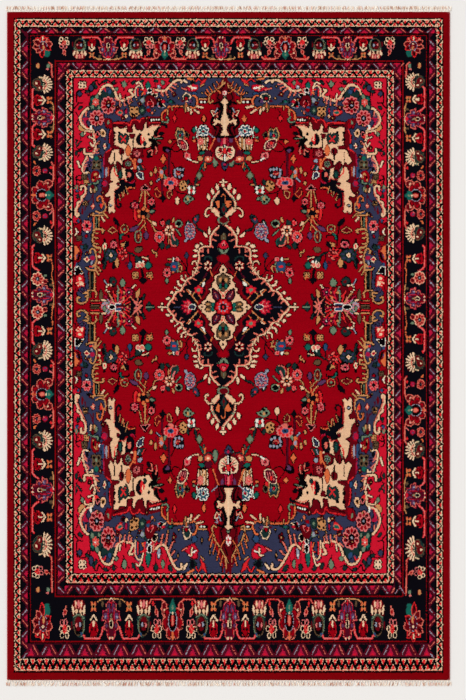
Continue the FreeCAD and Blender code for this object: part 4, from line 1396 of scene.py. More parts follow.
        self.draw(
            (LINE, (130, 230, 137, 228), SCARLET, 1.4),
            (ROSETTE, 129, 238.5, 7.5, 8.5, PINK, SCARLET, BLACK, 9, BLACK, MIST),
            (LINE, (122, 229, 125, 230), TAN, 1.4),
            # the hanging flower and the two-lobed leaf under it
            (LINE, (143, 238, 143, 248), TAN, 1.6, BLACK),
            (BLOB, (148, 235, 152, 240, 156, 243, 156, 250, 152, 252, 147, 245), FOREST, TEAL,
             0.8), (LINE, (149, 236, 152, 243), PINK, 2.4),
            (LINE, (145, 243, 148, 251, 154, 252), CORAL, 1.6), (LEAF, 142, 253, 8, 4, 50, FOREST),
            (LEAF, 133, 251, 11, 7, 0, FOREST), (OVAL, 128.5, 250, 2.6, 2.6, BLACK),
            (LINE, (129, 253, 125, 260, 122, 262), BLACK, 1.6),
            (LINE, (118, 258, 120, 262, 124, 262, 124, 267), TAN, 1.8, BLACK, 0.7),
            (LINE, (154, 227, 161, 236), SAGE, 1.6, BLACK),
            # the lilac flower by the medallion's top
            (LEAF, 184, 212, 14, 6, 25, SLATE, FOREST), (OVAL, 183, 211.5, 1.6, 2, SCARLET),
            (LINE, (182, 218, 187, 226, 193, 229, 200, 234), FOREST, 1.6),
            (ROSETTE, 175, 230, 7, 11, PURPLE, PINK, BURGUNDY, 9, MIST),
            (ROSETTE, 175, 230, 4, 7, BURGUNDY, MIST, PURPLE),
            (LEAF, 169, 243, 8, 4, 30, MIST, None),
            # the blue bird between the palmette and the medallion
            (SHAPE, (145, 279, 150, 275, 156, 275, 157, 286, 152, 291, 147, 290), BLUE, FOREST,
             0.8), (OVAL, 151, 283, 3, 2, SCARLET),
            (LINE, (157, 274, 158, 280, 156, 291), SAGE, 1.8),
            (OVAL, 156, 272, 3, 3.4, PINK, BLACK), (OVAL, 155.5, 272, 1.4, 2, SCARLET),
            (OVAL, 150, 272, 1.8, 2.8, WHITE, BLACK, 0.8),
            (LINE, (143, 272, 147, 272), TAN, 2.6, BLACK), (LEAF, 142, 280, 7, 4, 90, FOREST),
            (LINE, (158, 283, 162, 282, 162, 288, 160, 291), TAN, 1.8, BLACK),
            (LEAF, 150, 291, 4, 3, 60, ORANGE, None),
            (ROSETTE, 140.5, 292, 5.5, 7, PINK, CRIMSON, BLACK, 7, BLACK),
            (LEAF, 140, 304, 8, 4.5, 0, SAGE),
            (LINE, (170, 268, 171, 282, 170, 290, 175, 297), NAVY, 2),
            (LEAF, 170, 266, 9, 5.5, 0, SLATE, NAVY),
            (LINE, (160, 272, 168, 282, 169, 288, 163, 290), BLACK, 1.6),
            # between the slate ground and the side palmette
            (SHAPE, (58, 224, 64, 229, 58, 232, 52, 229), WINE, TAN),
            (LEAF, 64, 216, 15, 5, -30, NAVY),
            (LINE, (66, 220, 67, 228, 68, 236, 69, 252), BLACK, 2),
            (BLOB, (72, 223, 76, 221, 80, 222, 81, 229, 76, 232, 72, 229), RED, TAN, 0.9),
            (OVAL, 76, 227, 1.8, 2, SAGE), (LINE, (70, 241, 71, 236, 74, 234), TEAL, 2.4, BLACK),
            (LINE, (74, 236, 82, 236, 83, 239), BLACK, 2.6),
            (SHAPE, (71, 248, 76, 248, 78, 245, 79, 250, 77, 255, 73, 254), TAN, BLACK),
            (ROSETTE, 56, 266, 10, 10, FOREST, SLATE, NAVY, 7, BLACK, PALE),
            (ROSETTE, 73, 262, 8, 9, BLACK, SCARLET, WINE, 8, None, CORAL))
        for across, along, lean in ((45, 275, 0), (61, 281, 20), (86, 280, -10), (80, 250, 30)):
            self.leaf(across, along, 11, 5, lean, NAVY, BLACK)
        self.draw(
            (BLOB, (56, 243, 64, 242, 65, 252, 66, 258, 58, 258, 55, 250), BLACK),
            (ROSETTE, 60, 250, 4.6, 5, PINK, ROSE, BLACK, 7),
            (SHAPE, (56, 262, 59, 266, 56, 270, 53, 266), PALE, BLACK),
            (OVAL, 56, 266, 1, 1.6, ORANGE),
            (LINE, (65, 258, 68, 265, 72, 268, 72, 273), SCARLET, 1.8))
        for across, along in ((70, 262), (77, 258), (79, 267), (74, 271)):
            self.leaf(across, along, 5, 2.4, 30, CORAL, BURGUNDY)
        self.draw(
            (LEAF, 79, 277, 6, 4, 30, BURGUNDY, None), (LEAF, 65, 277, 15, 6, 0, TAN),
            (LINE, (46, 243, 46, 248), BLACK, 4), (OVAL, 46.5, 252.5, 3, 5, PALE, BLACK),
            (OVAL, 46.5, 252.5, 1.4, 2.6, SCARLET),
            (LINE, (46, 258, 47, 266, 48, 274, 45, 286), FOREST, 2, BLACK, 0.6),
            (BLOB, (92, 259, 94, 254, 98, 254, 103, 255, 101, 260, 96, 262), BROWN, BLACK),
            (LINE, (82, 262, 90, 265, 96, 268, 104, 270, 112, 268), FOREST, 1.6, BLACK, 0.6),
            (LINE, (84, 264, 85, 276), NAVY, 2), (LEAF, 84.5, 281, 12, 6, 0, BLUE, NAVY),
            (BLOB, (93, 268, 99, 270, 105, 276, 103, 280, 95, 279), FOREST, BLACK),
            (OVAL, 96.5, 281, 2.6, 3, PINK, PALE), (OVAL, 103, 280.5, 2.6, 3, CORAL, PALE))
        for across, along in ((99, 276), (104.5, 275.5)):
            self.oval(across, along, 1.5, 1.7, WHITE)
        self.draw(
            (LINE, (103, 269, 109, 270, 112, 272), CREAM, 1.8, BLACK),
            (LEAF, 112, 281, 10, 9, 0, TEAL, FOREST), (CROSS, 93, 296, 5.4, TAN, BLACK),
            (LINE, (102, 288, 104, 296, 104, 304), NAVY, 2.4, BLACK),
            (SHAPE, (98, 303, 104, 299, 110, 303, 105, 309), NAVY, BLACK),
            (CROSS, 114, 296, 5, TAN, BLACK), (LINE, (112, 300, 114, 297, 117, 302), ORANGE, 1.6))

    def side_palmette(self) -> None:
        """The upper half of the large palmette on the medallion's cross axis."""
        self.draw(
            (BLOB, (54, 303, 59, 299, 64, 304, 62, 311, 57, 311), FOREST, BLACK),
            (OVAL, 60, 306, 2, 2.2, WINE), (LEAF, 73.5, 307, 13, 8, 0, SAGE),
            (OVAL, 54, 316, 5.5, 6.5, RED, BLACK, 1.6))
        for number in range(8):
            turn = math.radians(45 * number + 20)
            self.oval(54 + 5 * math.sin(turn), 316 + 5.6 * math.cos(turn), 1.5, 1.6, PALE)
        self.draw(
            (LINE, (46, 303, 50, 310), MIST, 1.4), (LEAF, 41, 326, 18, 5, 0, BROWN),
            (SHAPE, (58, 314, 66, 312, 76, 316, 88, 314, 93, 322, 91, 334, 92, 346, 44, 346,
             48, 330, 54, 324), WINE, BLACK))
        for number in range(11):
            turn = math.radians(16.5 * number - 82)
            x, y = math.sin(turn), math.cos(turn)
            self.line([(66 + 11 * x, 343.7 - 9 * y), (66 + 25 * x, 343.7 - 25 * y)],
                     (SCARLET, SAGE, ROSE, TAN)[number % 4], 2, BLACK, 1.1)
        self.draw(
            (LINE, (66, 313, 68, 318, 65, 324), SAGE, 1.8),
            (ROSETTE, 83, 321.5, 6.5, 7, BURGUNDY, ROSE, NAVY, 7, BLACK, WHITE),
            (LINE, (88, 315, 92, 311), PALE, 2.2, BLACK),
            (SHAPE, (94, 321, 99, 316, 99, 326, 96, 331, 93, 328), TAN, BLACK))
        for start, end in (((70, 317), (72, 323)), ((76, 315), (79, 319)), ((60, 323), (64, 328)),
                           ((71, 330), (78, 327)), ((80, 333), (84, 328)), ((78, 339), (84, 336))):
            self.line([start, end], SCARLET, 2)
        for across, along in ((68, 322), (76, 322), (75, 330), (86, 330), (81, 344), (86, 340)):
            self.oval(across, along, 1.4, 1.8, TAN)
        self.draw(
            (LINE, (58, 330, 57, 335, 61, 338, 70, 336, 76, 333), PINK, 1.6),
            (LINE, (53, 341, 57, 337, 62, 341, 68, 342.5, 74, 343), PINK, 1.6),
            (SHAPE, (84, 329, 88, 331, 104, 328, 105, 346, 86, 346), NAVY))
        for start, end in (((88, 332), (103, 346)), ((88, 340), (97, 343)), ((97, 331),
                                                                             (95, 338))):
            self.line([start, end], CORAL, 1.8)
        self.draw(
            (ROSETTE, 47, 343.7, 5, 8, MIST, PINK, WINE, 7),
            (OVAL, 57.5, 343.7, 4.6, 3.2, BLACK, WHITE, 1.1),
            (SHAPE, (63, 338.6, 71, 338.6, 71, 342, 63, 342), BLUE, WHITE, 0.8),
            (LINE, (43, 333, 47, 334), CREAM, 3, BLACK), (OVAL, 46, 341, 2, 4, SAGE, BLACK),
            (LINE, (51, 333, 54, 336), MIST, 1.6))
        for along, dye in ((334.5, TAN), (338.5, SCARLET), (342, BROWN)):
            self.line([(26, along), (38, along)], dye, 1.8, BLACK, 0.8)
        self.draw(
            (LINE, (88, 334, 90, 346), NAVY, 3), (LINE, (91, 337, 95, 341, 93, 346), PINK, 1.8),
            (LINE, (101, 335, 97, 341, 100, 346), CORAL, 2.2),
            (LINE, (106, 326, 104, 332), FOREST, 2.4, BLACK),
            (SHAPE, (113, 336, 117, 341, 121, 344, 121, 346, 109, 346, 110, 341), FOREST, BLACK),
            (LINE, (109, 343.7, 120, 343.7), SAGE, 2))

    def medallion(self) -> None:
        """One quarter of the medallion, with the pendant figure and ring beyond it."""
        edge = [(224, 219), (217, 224), (211, 230), (206, 238), (206, 246), (205, 253), (196, 253),
                (190, 256), (188, 262), (189, 270), (187, 278), (186, 286), (182, 293), (177, 300),
                (171, 302), (168, 307), (164, 312), (162, 319), (155, 321), (151, 326), (150, 331),
                (146, 334), (140, 343.7)]
        self.shape(edge + [(230, 350), (230, 217)], NAVY)
        for start, end in (((211, 231), (213, 236)), ((212, 233), (217, 236)), ((207, 241),
                                                                                (214, 244)),
                           ((206, 250), (209, 254)), ((195, 254), (194, 261)), ((202, 254),
                                                                                (202, 262)),
                           ((190, 258), (195, 261)), ((190, 268), (195, 266)), ((189, 276),
                                                                                (192, 279)),
                           ((187, 286), (191, 283)), ((184, 294), (188, 291)), ((178, 300),
                                                                                (184, 303)),
                           ((171, 303), (175, 309)), ((166, 311), (169, 310)), ((163, 318),
                                                                                (166, 321)),
                           ((159, 321), (162, 327)), ((152, 326), (154, 333)), ((147, 334),
                                                                                (151, 338))):
            self.line([start, end], CORAL, 2, None)
        self.draw(
            (BAR, edge, CREAM, 2.6, BLACK, 1.2),
            (BAR, [(x + 1.2, y + 0.6) for x, y in edge], CORAL, 1.2))
        # flourishes outside the edge
        for across, along, long, wide, turn in ((192, 249, 7, 3, -55), (186, 252, 7, 6, 60),
                                                (184, 259, 8, 3.4, 90), (183, 267, 8, 4, 80),
                                                (204, 229, 12, 4, 0), (198, 235, 10, 4, -35),
                                                (147.5, 322, 5, 5, 0), (142, 331, 7, 4, 70)):
            self.leaf(across, along, long, wide, turn, PALE, BLACK)
        self.draw(
            (LINE, (186, 281, 184, 276, 180, 275, 178, 279), CREAM, 2, BLACK),
            (LINE, (182, 285, 186, 290), CREAM, 1.8, BLACK),
            (LINE, (179, 290, 179, 297), CREAM, 1.8, BLACK),
            (LINE, (162, 297, 163, 302, 168, 305), PALE, 2.4, BLACK),
            (LINE, (168, 296, 169, 300), CREAM, 1.8, BLACK),
            (LINE, (157, 305, 158, 310, 162, 312), PALE, 3, BLACK),
            (LINE, (152, 314, 157, 318), PALE, 2, BLACK),
            (LINE, (133, 339, 133, 344), PALE, 3, BLACK),
            (LINE, (128, 343.7, 141, 343.7), PALE, 2.6, BLACK),
            # stem of flowers down the axis
            (SHAPE, (224, 232, 228, 237, 228, 243, 220, 243, 220, 237), BROWN, BLACK),
            (LINE, (224, 234, 224, 243), SAGE, 1.6),
            (BLOB, (224, 243, 230, 250, 231, 256, 224, 256, 217, 256, 218, 250), CRIMSON, BLACK),
            (LINE, (222, 251, 224, 246, 226, 251), PINK, 1.6),
            (SHAPE, (216, 255, 224, 259, 232, 255, 229, 261, 224, 266, 219, 261), SAGE, BLACK),
            (OVAL, 224, 259, 2, 2, BLACK), (OVAL, 224, 271, 7.5, 6, RED, WINE),
            (LINE, (219, 278, 212, 286, 209, 296, 205, 303, 199, 311, 200, 321, 194, 330,
             187, 338), WINE, 4),
            # flowers on the navy ground
            (LINE, (197, 272, 199, 268, 206, 269, 208, 273), FOREST, 2.4),
            (ROSETTE, 202, 282, 6, 7.5, RED, PALE, BLACK, 6),
            (LINE, (206, 290, 209, 298), ORANGE, 1.2),
            (ROSETTE, 188, 318, 6.5, 6.5, CRIMSON, SCARLET, SAGE, 6),
            (LINE, (190, 310, 198, 302), TAN, 1.4), (LEAF, 195.5, 309, 9, 4, 30, WHITE, None),
            (LINE, (196, 300, 200, 293), BURGUNDY, 2), (LINE, (188, 326, 192, 331), ORANGE, 1.2),
            (LINE, (170, 318, 176, 325, 181, 331, 187, 338), ORANGE, 1.4),
            (LINE, (172, 317, 176, 321, 174, 325), CREAM, 1.4),
            (LEAF, 180, 321, 5, 3, 60, BURGUNDY, None))
        # the red flower on the cross axis
        for lean, long in ((-78, 16), (-52, 17), (-26, 14), (-100, 15)):
            x, y = math.sin(math.radians(lean)), math.cos(math.radians(lean))
            self.leaf(176 + 6 * x, 343.7 - 6 * y, long, 7, lean, CRIMSON, BURGUNDY, PINK)
        self.draw(
            (OVAL, 178, 343.7, 5, 3.6, SLATE, WHITE, 0.9),
            (LINE, (151, 343.7, 160, 343.7), SLATE, 2.2),
            (LINE, (186, 336, 179, 327, 182, 322), TAN, 1.3),
            # ring and pendant figure
            (OVAL, 224, 213, 6.5, 5, WINE, SAGE, 1.6),
            (LINE, (214, 216, 218, 219, 224, 220), BLACK, 1.2))
        inside = [(225, 163), (216, 173), (209, 183), (207, 192), (212, 196), (222, 208),
                  (230, 208), (230, 163)]
        self.draw(
            (SHAPE, inside, NAVY), (LINE, inside[:4], CREAM, 2.4, BLACK, 1.2),
            (LINE, [(x + 1.2, y + 0.8) for x, y in inside[:4]], CORAL, 1),
            (SHAPE, (207, 194, 212, 194, 222, 206, 220, 209, 214, 206, 211, 202, 207, 200), CREAM,
             BLACK), (LINE, (213, 195, 223, 206), CORAL, 1.2),
            (LINE, (208, 195, 203, 195, 199, 199, 198, 205, 200, 208, 202, 206), CREAM, 2.2,
             BLACK))
        for across, along in ((203, 178), (209, 170), (216, 163)):
            self.leaf(across, along, 10, 5, -12, PALE, BLACK)
        self.draw(
            (LINE, (225, 153, 225, 162), PALE, 2.6, BLACK),
            (LINE, (221, 156, 229, 156), PALE, 2.6, BLACK), (LINE, (212, 180, 209, 184), SAGE, 2),
            (LINE, (222, 187, 222, 178, 225, 174, 228, 178), ORANGE, 1.4),
            (BLOB, (214, 185, 219, 184, 223, 188, 220, 192, 218, 195, 215, 190), ORANGE),
            (BUD, 224, 196, 5, FOREST, BLACK, None, 0, 2),
            (BUD, 224, 197, 2.4, WINE, None, None, 0, 2))

    def axis_vase(self) -> None:
        """Half of the vase on the long axis; the pen's origin is the axis on the field's edge."""
        self.draw(
            (SHAPE, (4, -2, -6, 4, -12, 12, -14, 24, -14, 40, -18, 60, -20, 80, -21, 90, -16, 120,
             -8, 128, 4, 130), WINE), (SHAPE, (-13, 42, -10, 40, -11, 60, -17, 78, -20, 62), RED),
            (LINE, (-1, 12, -7, 20, -11, 29, -8, 33), BLACK, 2),
            (ROSETTE, 0, 22, 3.6, 3.8, PINK, WHITE, CRIMSON, 6, BLACK),
            (OVAL, 0, 28.5, 2, 1.8, SAGE, BLACK),
            # the dark scrolls beside the vase
            (LINE, (-16, 38, -7, 36, -5, 43, -9, 47, -11, 55, -18, 59, -20, 68, -14, 75), BLACK,
             3.4), (LINE, (-7, 38, -4.6, 44, -6, 54, -10, 61), BLACK, 4),
            (LINE, (-13, 71, -8, 71, -7, 78, -11, 86), BLACK, 3),
            (LINE, (-12, 74, -15, 86), BLACK, 1.8),
            # the vase: a knob, a long neck, a shoulder with arms, and a foot like a bell
            (SHAPE, mirrored((0, 29, -2, 31, -5.6, 35, -5, 37, -2.6, 38, -1.8, 41, -1.6, 48,
             -2.2, 52, -4, 56, -5.4, 60, -6.4, 63.6, -10, 63.4, -12, 60, -13.4, 61, -13, 63.4,
             -16, 61, -17, 63, -15, 66, -17, 69, -15, 71, -12.6, 68, -10, 66.4, -6, 67.4, -4.6, 70,
             -3.2, 73, -2.9, 78, -4.4, 82, -6.6, 86, 0, 86)), CREAM, BLACK, 1.5),
            (LINE, (0, 33, 0, 60), PALE, 1.6), (LINE, (0, 60, 0, 84), PALE, 3),
            (LINE, (-12, 52, -11, 57), CORAL, 1.6),
            (SHAPE, (-20, 49, -13, 50, -17, 56), RED, PALE),
            (LINE, (-14, 51, -11, 45), MIST, 1.4, BLACK), (LINE, (-17, 88, 2, 88), BLACK, 3),
            (LINE, (-25, 82, -17, 88, -15, 90), MIST, 1.4),
            (LINE, (-15, 90, -19, 99, -23, 107), ORANGE, 1.8),
            (SHAPE, (-11, 90, -7, 90, -7, 94, -8, 98, -11, 94), PURPLE),
            (LINE, (-4, 91, -5, 104), ROSE, 2.2, BLACK, 0.8),
            (LINE, (0, 91, 0, 104), PINK, 3, CRIMSON),
            # the striped fan
            (BLOB, mirrored((0, 101, -5, 103, -10, 103, -13.5, 107, -13.6, 114, -11, 119, -6, 122,
             -2, 124, 0, 126)), PALE, BLACK, 1.2))
        for number, turn in enumerate((-100, -82, -64, -46, -28, 28, 46, 64, 82, 100)):
            lean = math.radians(turn)
            self.line([(-3 * math.sin(lean), 110 + 3 * math.cos(lean)), (-11 * math.sin(lean), 110
                       + 12 * math.cos(lean))], (BLACK, CRIMSON)[number % 2], 1.3)
        self.draw(
            (LINE, (0, 101, 0, 126), BLACK, 5), (LINE, (0, 102, 0, 125), WHITE, 2),
            (OVAL, 0, 109, 2.4, 4, SCARLET, BLACK, 0.7))
        for side in (-1, 1):
            self.oval(side * 6.5, 107, 2, 2.4, RED, BLACK)
        self.draw(
            (BLOB, (0, 126, -5, 128, -4, 133, 0, 138, 4, 133), SLATE, BLACK),
            (OVAL, 0, 129.5, 2, 2, ROSE),
            # the toothed vine on its left
            (LINE, (0, 7, -6, 12, -12, 17, -18, 21, -23, 26, -24, 33, -22, 37, -18, 34), TAN, 2,
             BLACK))
        for start, end in (((-13, 17), (-17, 9)), ((-18, 21), (-23, 13)), ((-24, 27), (-29, 22)),
                           ((-8, 12), (-12, 5)), ((-12, 17), (-6, 22)), ((-23, 24), (-27, 17))):
            self.line([start, end], ORANGE, 1.4, BLACK, 0.9)
        self.line((-3, 3, -4, 9), TAN, 2)


@dataclass
class FieldDesign:
    """The field: each quarter is one drawing, turned over and fitted to its own size.

    West, east, north and south are the field's edges, in knots from the pile's top left.
    """

    cartoon: Cartoon
    west: float = 98.67
    east: float = 568.33
    north: float = 100
    south: float = 844
    middle: float = 443.8
    axis: float = 323.5

    def quarters(self) -> list[FieldPen]:
        """One pen for each quarter, with its origin in the field's corner.

        Returns:
            The pens.
        """
        to_west = stretched((0, 225), (self.west, self.axis + 0.1))
        to_east = stretched((0, 51.9, 75.25, 140, 205, 225),
                            [self.east - x for x in (0, 51.8, 82.8, 144.9, 225, 244.9)])
        to_north = stretched((0, 343.7), (self.north, self.middle))
        return [FieldPen(self.cartoon, self.placing(across, along))
                for across in (to_west, to_east) for along in (lambda points: to_north(points[:,
                                                                                              1]),
                                                               self.to_south)]

    def to_south(self, points: np.ndarray) -> np.ndarray:
        """How far along the south half's spots lie; its middle stands further in.

        Args:
            points: Spots of a quarter's drawing.

        Returns:
            How far along each of them is.
        """
        along = stretched((0, 202.2, 343.7), (self.south, self.middle + 137, self.middle))
        further = np.interp(points[:, 1], (0, 29, 42, 87, 112, 157, 202),
                            (0, 27, 20, 15.5, 16.7, 9.3, 0))
        return along(points[:, 1]) - further * np.interp(points[:, 0], (60, 130), (0, 1))

    @staticmethod
    def placing(across: Callable, along: Callable) -> Callable[[np.ndarray], np.ndarray]:
        """The two ways of a map, made one."""
        return lambda points: np.column_stack([across(points[:, 0]), along(points)])

    def draw(self) -> None:
        """Draw the whole field."""
        quarters = self.quarters()
        for part in (FieldPen.corner, FieldPen.wine_band, FieldPen.cream_figure,
                     FieldPen.corner_sprigs, FieldPen.corner_vines, FieldPen.slate_flowers,
                     FieldPen.orange_scrolls, FieldPen.navy_scrolls, FieldPen.top_flowers,
                     FieldPen.side_flowers, FieldPen.side_palmette, FieldPen.medallion):
            for pen in quarters:
                part(pen)
        self.draw_heart()
        self.draw_vases()
        for ground in (RED, CRIMSON, SLATE):
            self.cartoon.contour(ground, BLACK, (BLACK, NAVY, WINE, BURGUNDY, BAND))

    def draw_heart(self) -> None:
        """Draw the cream figure at the heart of the medallion, and the rosette on it."""
        pen = MotifPen(self.cartoon, self.placing(
            stretched((-60, 20, 60), (self.axis - 60, self.axis + 20, self.axis + 69)),
            lambda points: self.middle + points[:, 1]))
        pen.draw(
            (SHAPE, fourfold((0, -68, -15, -46, -16, -39, -24, -35, -24.5, -20, -39.5, 0)), WINE,
             RED, 0.9),
            (SHAPE, fourfold((0, -64, -2, -62, -6, -55, -3, -50, -9, -49, -14, -45, -12, -40,
             -17, -35, -16, -30, -21, -27, -18, -22, -23, -17, -26, -12, -31, -8, -31, -5,
             -38, 0)), CREAM, BLACK, 1.7))
        for way in (-1, 1):
            half = pen.at(0, 0, 0, 1, way)
            half.draw(
                (BLOB, mirrored((0, -50, -3, -47, -8, -45, -8.6, -36, -6, -30, 0, -24)), BROWN,
                 BLACK, 1.6), (OVAL, 0, -36, 3, 6.5, BLACK), (OVAL, 0, -34, 1.2, 2.6, BURGUNDY),
                (OVAL, 0, -56, 1.6, 2.6, BLACK))
            for side in (-1, 1):
                part = pen.at(0, 0, 0, side, way)
                part.draw(
                    (OVAL, -4.4, -41, 2, 3.4, TAN),
                    (OVAL, -4.4, -31.5, 2.2, 3.8, TEAL, BLACK, 0.8),
                    (LINE, (0, -14, -2.4, -21, -7, -25), SCARLET, 1.2),
                    (LEAF, -10.5, -17.5, 20, 10, -28, BURGUNDY, NAVY, SLATE, 2),
                    (LINE, (-9, -14, -13, -22), CORAL, 1),
                    (OVAL, -22, -4, 5, 3.4, BROWN, BLACK, 1.2), (OVAL, -23, -4, 2.4, 1.6, TAN),
                    (OVAL, -15.5, -3.4, 2.6, 3, TEAL, BLACK, 0.9), (OVAL, -32, 0, 1.8, 1.4, BLACK))
        pen.rosette(0, 0, 12.5, 12, RED, SCARLET, NAVY, 9, BLACK, SCARLET)
        for number in range(9):
            turn = 2 * math.pi * (number + 0.5) / 9
            pen.oval(6.4 * math.sin(turn), 6.2 * math.cos(turn), 1, 1.6, MIST,
                     turn=-math.degrees(turn))

    def draw_vases(self) -> None:
        """Draw the vase at each end of the long axis."""
        for side in (-1, 1):
            FieldPen(self.cartoon, lambda points: points * (side, 1)
                     + (325.9, self.north)).axis_vase()
            FieldPen(self.cartoon, self.placing(
                lambda across: 331.2 + side * across,
                lambda points: self.to_south(points * (0, 1) + (225, 0)))).axis_vase()


class Value:
    """A shader value that sums and products are written with."""

    def __init__(self, tree: bpy.types.NodeTree, socket: bpy.types.NodeSocket) -> None:
        """Wrap one output of a node."""
        self.tree, self.socket = tree, socket

    def maths(self, operation: str, *terms: "Term") -> "Value":
        """The result of a Math node.

        Args:
            operation: The node's operation.
            terms: The values or numbers that it works on.

        Returns:
            The node's output.
        """
        node = self.tree.nodes.new("ShaderNodeMath")
        node.operation = operation
        for place, term in enumerate(terms):
            if isinstance(term, Value):
                self.tree.links.new(term.socket, node.inputs[place])
            else:
                node.inputs[place].default_value = term
        return Value(self.tree, node.outputs[0])

    def __add__(self, other: "Term") -> "Value":
        """The sum."""
        return self.maths("ADD", self, other)

    __radd__ = __add__

    def __mul__(self, other: "Term") -> "Value":
        """The product."""
        return self.maths("MULTIPLY", self, other)

    __rmul__ = __mul__

    def __sub__(self, other: "Term") -> "Value":
        """The difference."""
        return self.maths("SUBTRACT", self, other)

    def __rsub__(self, other: "Term") -> "Value":
        """The difference, the other way round."""
        return self.maths("SUBTRACT", other, self)

    def __truediv__(self, other: "Term") -> "Value":
        """The quotient."""
        return self.maths("DIVIDE", self, other)

    def between(self, low: float, high: float) -> "Value":
        """How far the value is from one number to another, held from 0 to 1."""
        return ((self - low) / (high - low)).held()

    def held(self) -> "Value":
        """The value held from 0 to 1."""
        return self.maths("MINIMUM", self.maths("MAXIMUM", self, 0.0), 1.0)


Term = Union[Value, float]


class Shader:
    """A new material with one principled surface."""

    def __init__(self, name: str, roughness: float, specular: float, sheen: float = 0.0,
                 sheen_tint: Sequence[float] = (1, 1, 1)) -> None:
        """Make the material and set what is the same all over it.

        Args:
            name: The material's name.
            roughness: How rough it is.
            specular: How much it reflects.
            sheen: How much sheen it has.
            sheen_tint: The sheen's colour.
        """
        self.material = bpy.data.materials.new(name)
        self.material.use_nodes = True
        self.tree = self.material.node_tree
        self.surface = self.tree.nodes["Principled BSDF"]
        for socket, value in (("Roughness", roughness), ("Specular IOR Level", specular),
                              ("Sheen Weight", sheen), ("Sheen Roughness", 0.5),
                              ("Sheen Tint", (*sheen_tint, 1))):
            self.surface.inputs[socket].default_value = value

    def add(self, kind: str, settings: Optional[dict] = None,
            sockets: Optional[dict] = None, output: Union[int, str] = 0) -> Value:
        """Add any node.

        Args:
            kind: The node's type, without the word that all begin with.
            settings: Its settings, by name; they are set first.
            sockets: The values or links of its sockets, by name or place.
            output: The output wanted, by name or place.

        Returns:
            That output.
        """
        node = self.tree.nodes.new("ShaderNode" + kind)
        for name, value in (settings or {}).items():
            setattr(node, name, value)
        for name, value in (sockets or {}).items():
            if isinstance(value, Value):
                self.tree.links.new(value.socket, node.inputs[name])
            else:
                node.inputs[name].default_value = value
        return Value(self.tree, node.outputs[output])

    def place(self, stretch: Sequence[float]) -> Value:
        """The place on the object, each way times a number."""
        spot = self.add("TexCoord", output="Object")
        return self.add("Mapping", {"vector_type": "POINT"}, {"Vector": spot, "Scale": stretch})

    def noise(self, stretch: Sequence[float], detail: float = 2, rough: float = 0.5,
              warp: float = 0) -> Value:
        """Smooth noise from about 0 to 1, with so many lumps to the metre each way.

        Args:
            stretch: The lumps to the metre, each way.
            detail: How many finer layers it has.
            rough: How strong they are.
            warp: How much it is distorted.

        Returns:
            The noise.
        """
        return self.add("TexNoise", None, {"Vector": self.place(stretch), "Scale": 1.0,
                                           "Detail": detail, "Roughness": rough,
                                           "Distortion": warp})

    def mix(self, share: Term, first: Union[Value, Sequence[float]],
            second: Union[Value, Sequence[float]], blend: str = "MIX") -> Value:
        """Mix two colours.

        Args:
            share: How much of the second there is.
            first: The first colour.
            second: The second colour.
            blend: How the second goes on the first.

        Returns:
            The mixed colour.
        """
        colours = [c if isinstance(c, Value) else (*c, 1) for c in (first, second)]
        return self.add("Mix", {"data_type": "RGBA", "blend_type": blend, "clamp_result": False},
                        {0: share, 6: colours[0], 7: colours[1]}, 2)

    def shade(self, colour: Value, light: Value) -> Value:
        """A colour times a value."""
        return self.add("VectorMath", {"operation": "SCALE"}, {0: colour, "Scale": light})

    def feed(self, socket: str, value: Value) -> None:
        """Link a value to a socket of the surface."""
        self.tree.links.new(value.socket, self.surface.inputs[socket])

    def raise_by(self, height: Value, distance: float, strength: float = 1.0) -> None:
        """Bump the surface by a height from 0 to 1 over so many metres.

        Args:
            height: The height.
            distance: How far 1 is, in metres.
            strength: How much of the bump shows.
        """
        bump = self.add("Bump", None, {"Strength": strength, "Distance": distance,
                                       "Height": height})
        self.feed("Normal", bump)


def linear(*levels: float) -> tuple[float, ...]:
    """A colour of 0 to 255 as the shader's linear light."""
    shares = [level / 255 for level in levels]
    return tuple(s / 12.92 if s <= 0.04045 else ((s + 0.055) / 1.055) ** 2.4 for s in shares)


@dataclass(frozen=True)
class PileWool:
    """Cut wool pile: every knot its own dye, rows a little lighter and darker, matt and soft."""

    name: str
    streaks: float
    nap: float = 0.0012

    def material(self) -> bpy.types.Material:
        """The material.

        Returns:
            Wool that reads its dye from the mesh.
        """
        wool = Shader(self.name, 0.95, 0.01, 0.02, (1, 0.6, 0.55))
        dye = wool.add("Attribute", {"attribute_name": "dye"}, output="Color")
        rows = wool.noise((7, 190, 1), 3, 0.6)
        bands = wool.noise((1.1, 16, 1), 2)
        cloud = wool.noise((9, 9, 1), 3)
        light = (1 + (rows - 0.5) * self.streaks + (bands - 0.5) * (0.5 * self.streaks)
                 + (cloud - 0.5) * 0.2)
        wool.feed("Base Color", wool.shade(dye, light))
        tufts = wool.add("TexVoronoi", {"feature": "F1"},
                         {"Vector": wool.place((333, 333, 100)), "Scale": 1.0,
                          "Randomness": 0.6}, "Distance")
        fibres = wool.noise((1400, 1400, 500), 2)
        wool.raise_by((1 - tufts) * 0.7 + fibres * 0.5, self.nap, 0.5)
        return wool.material


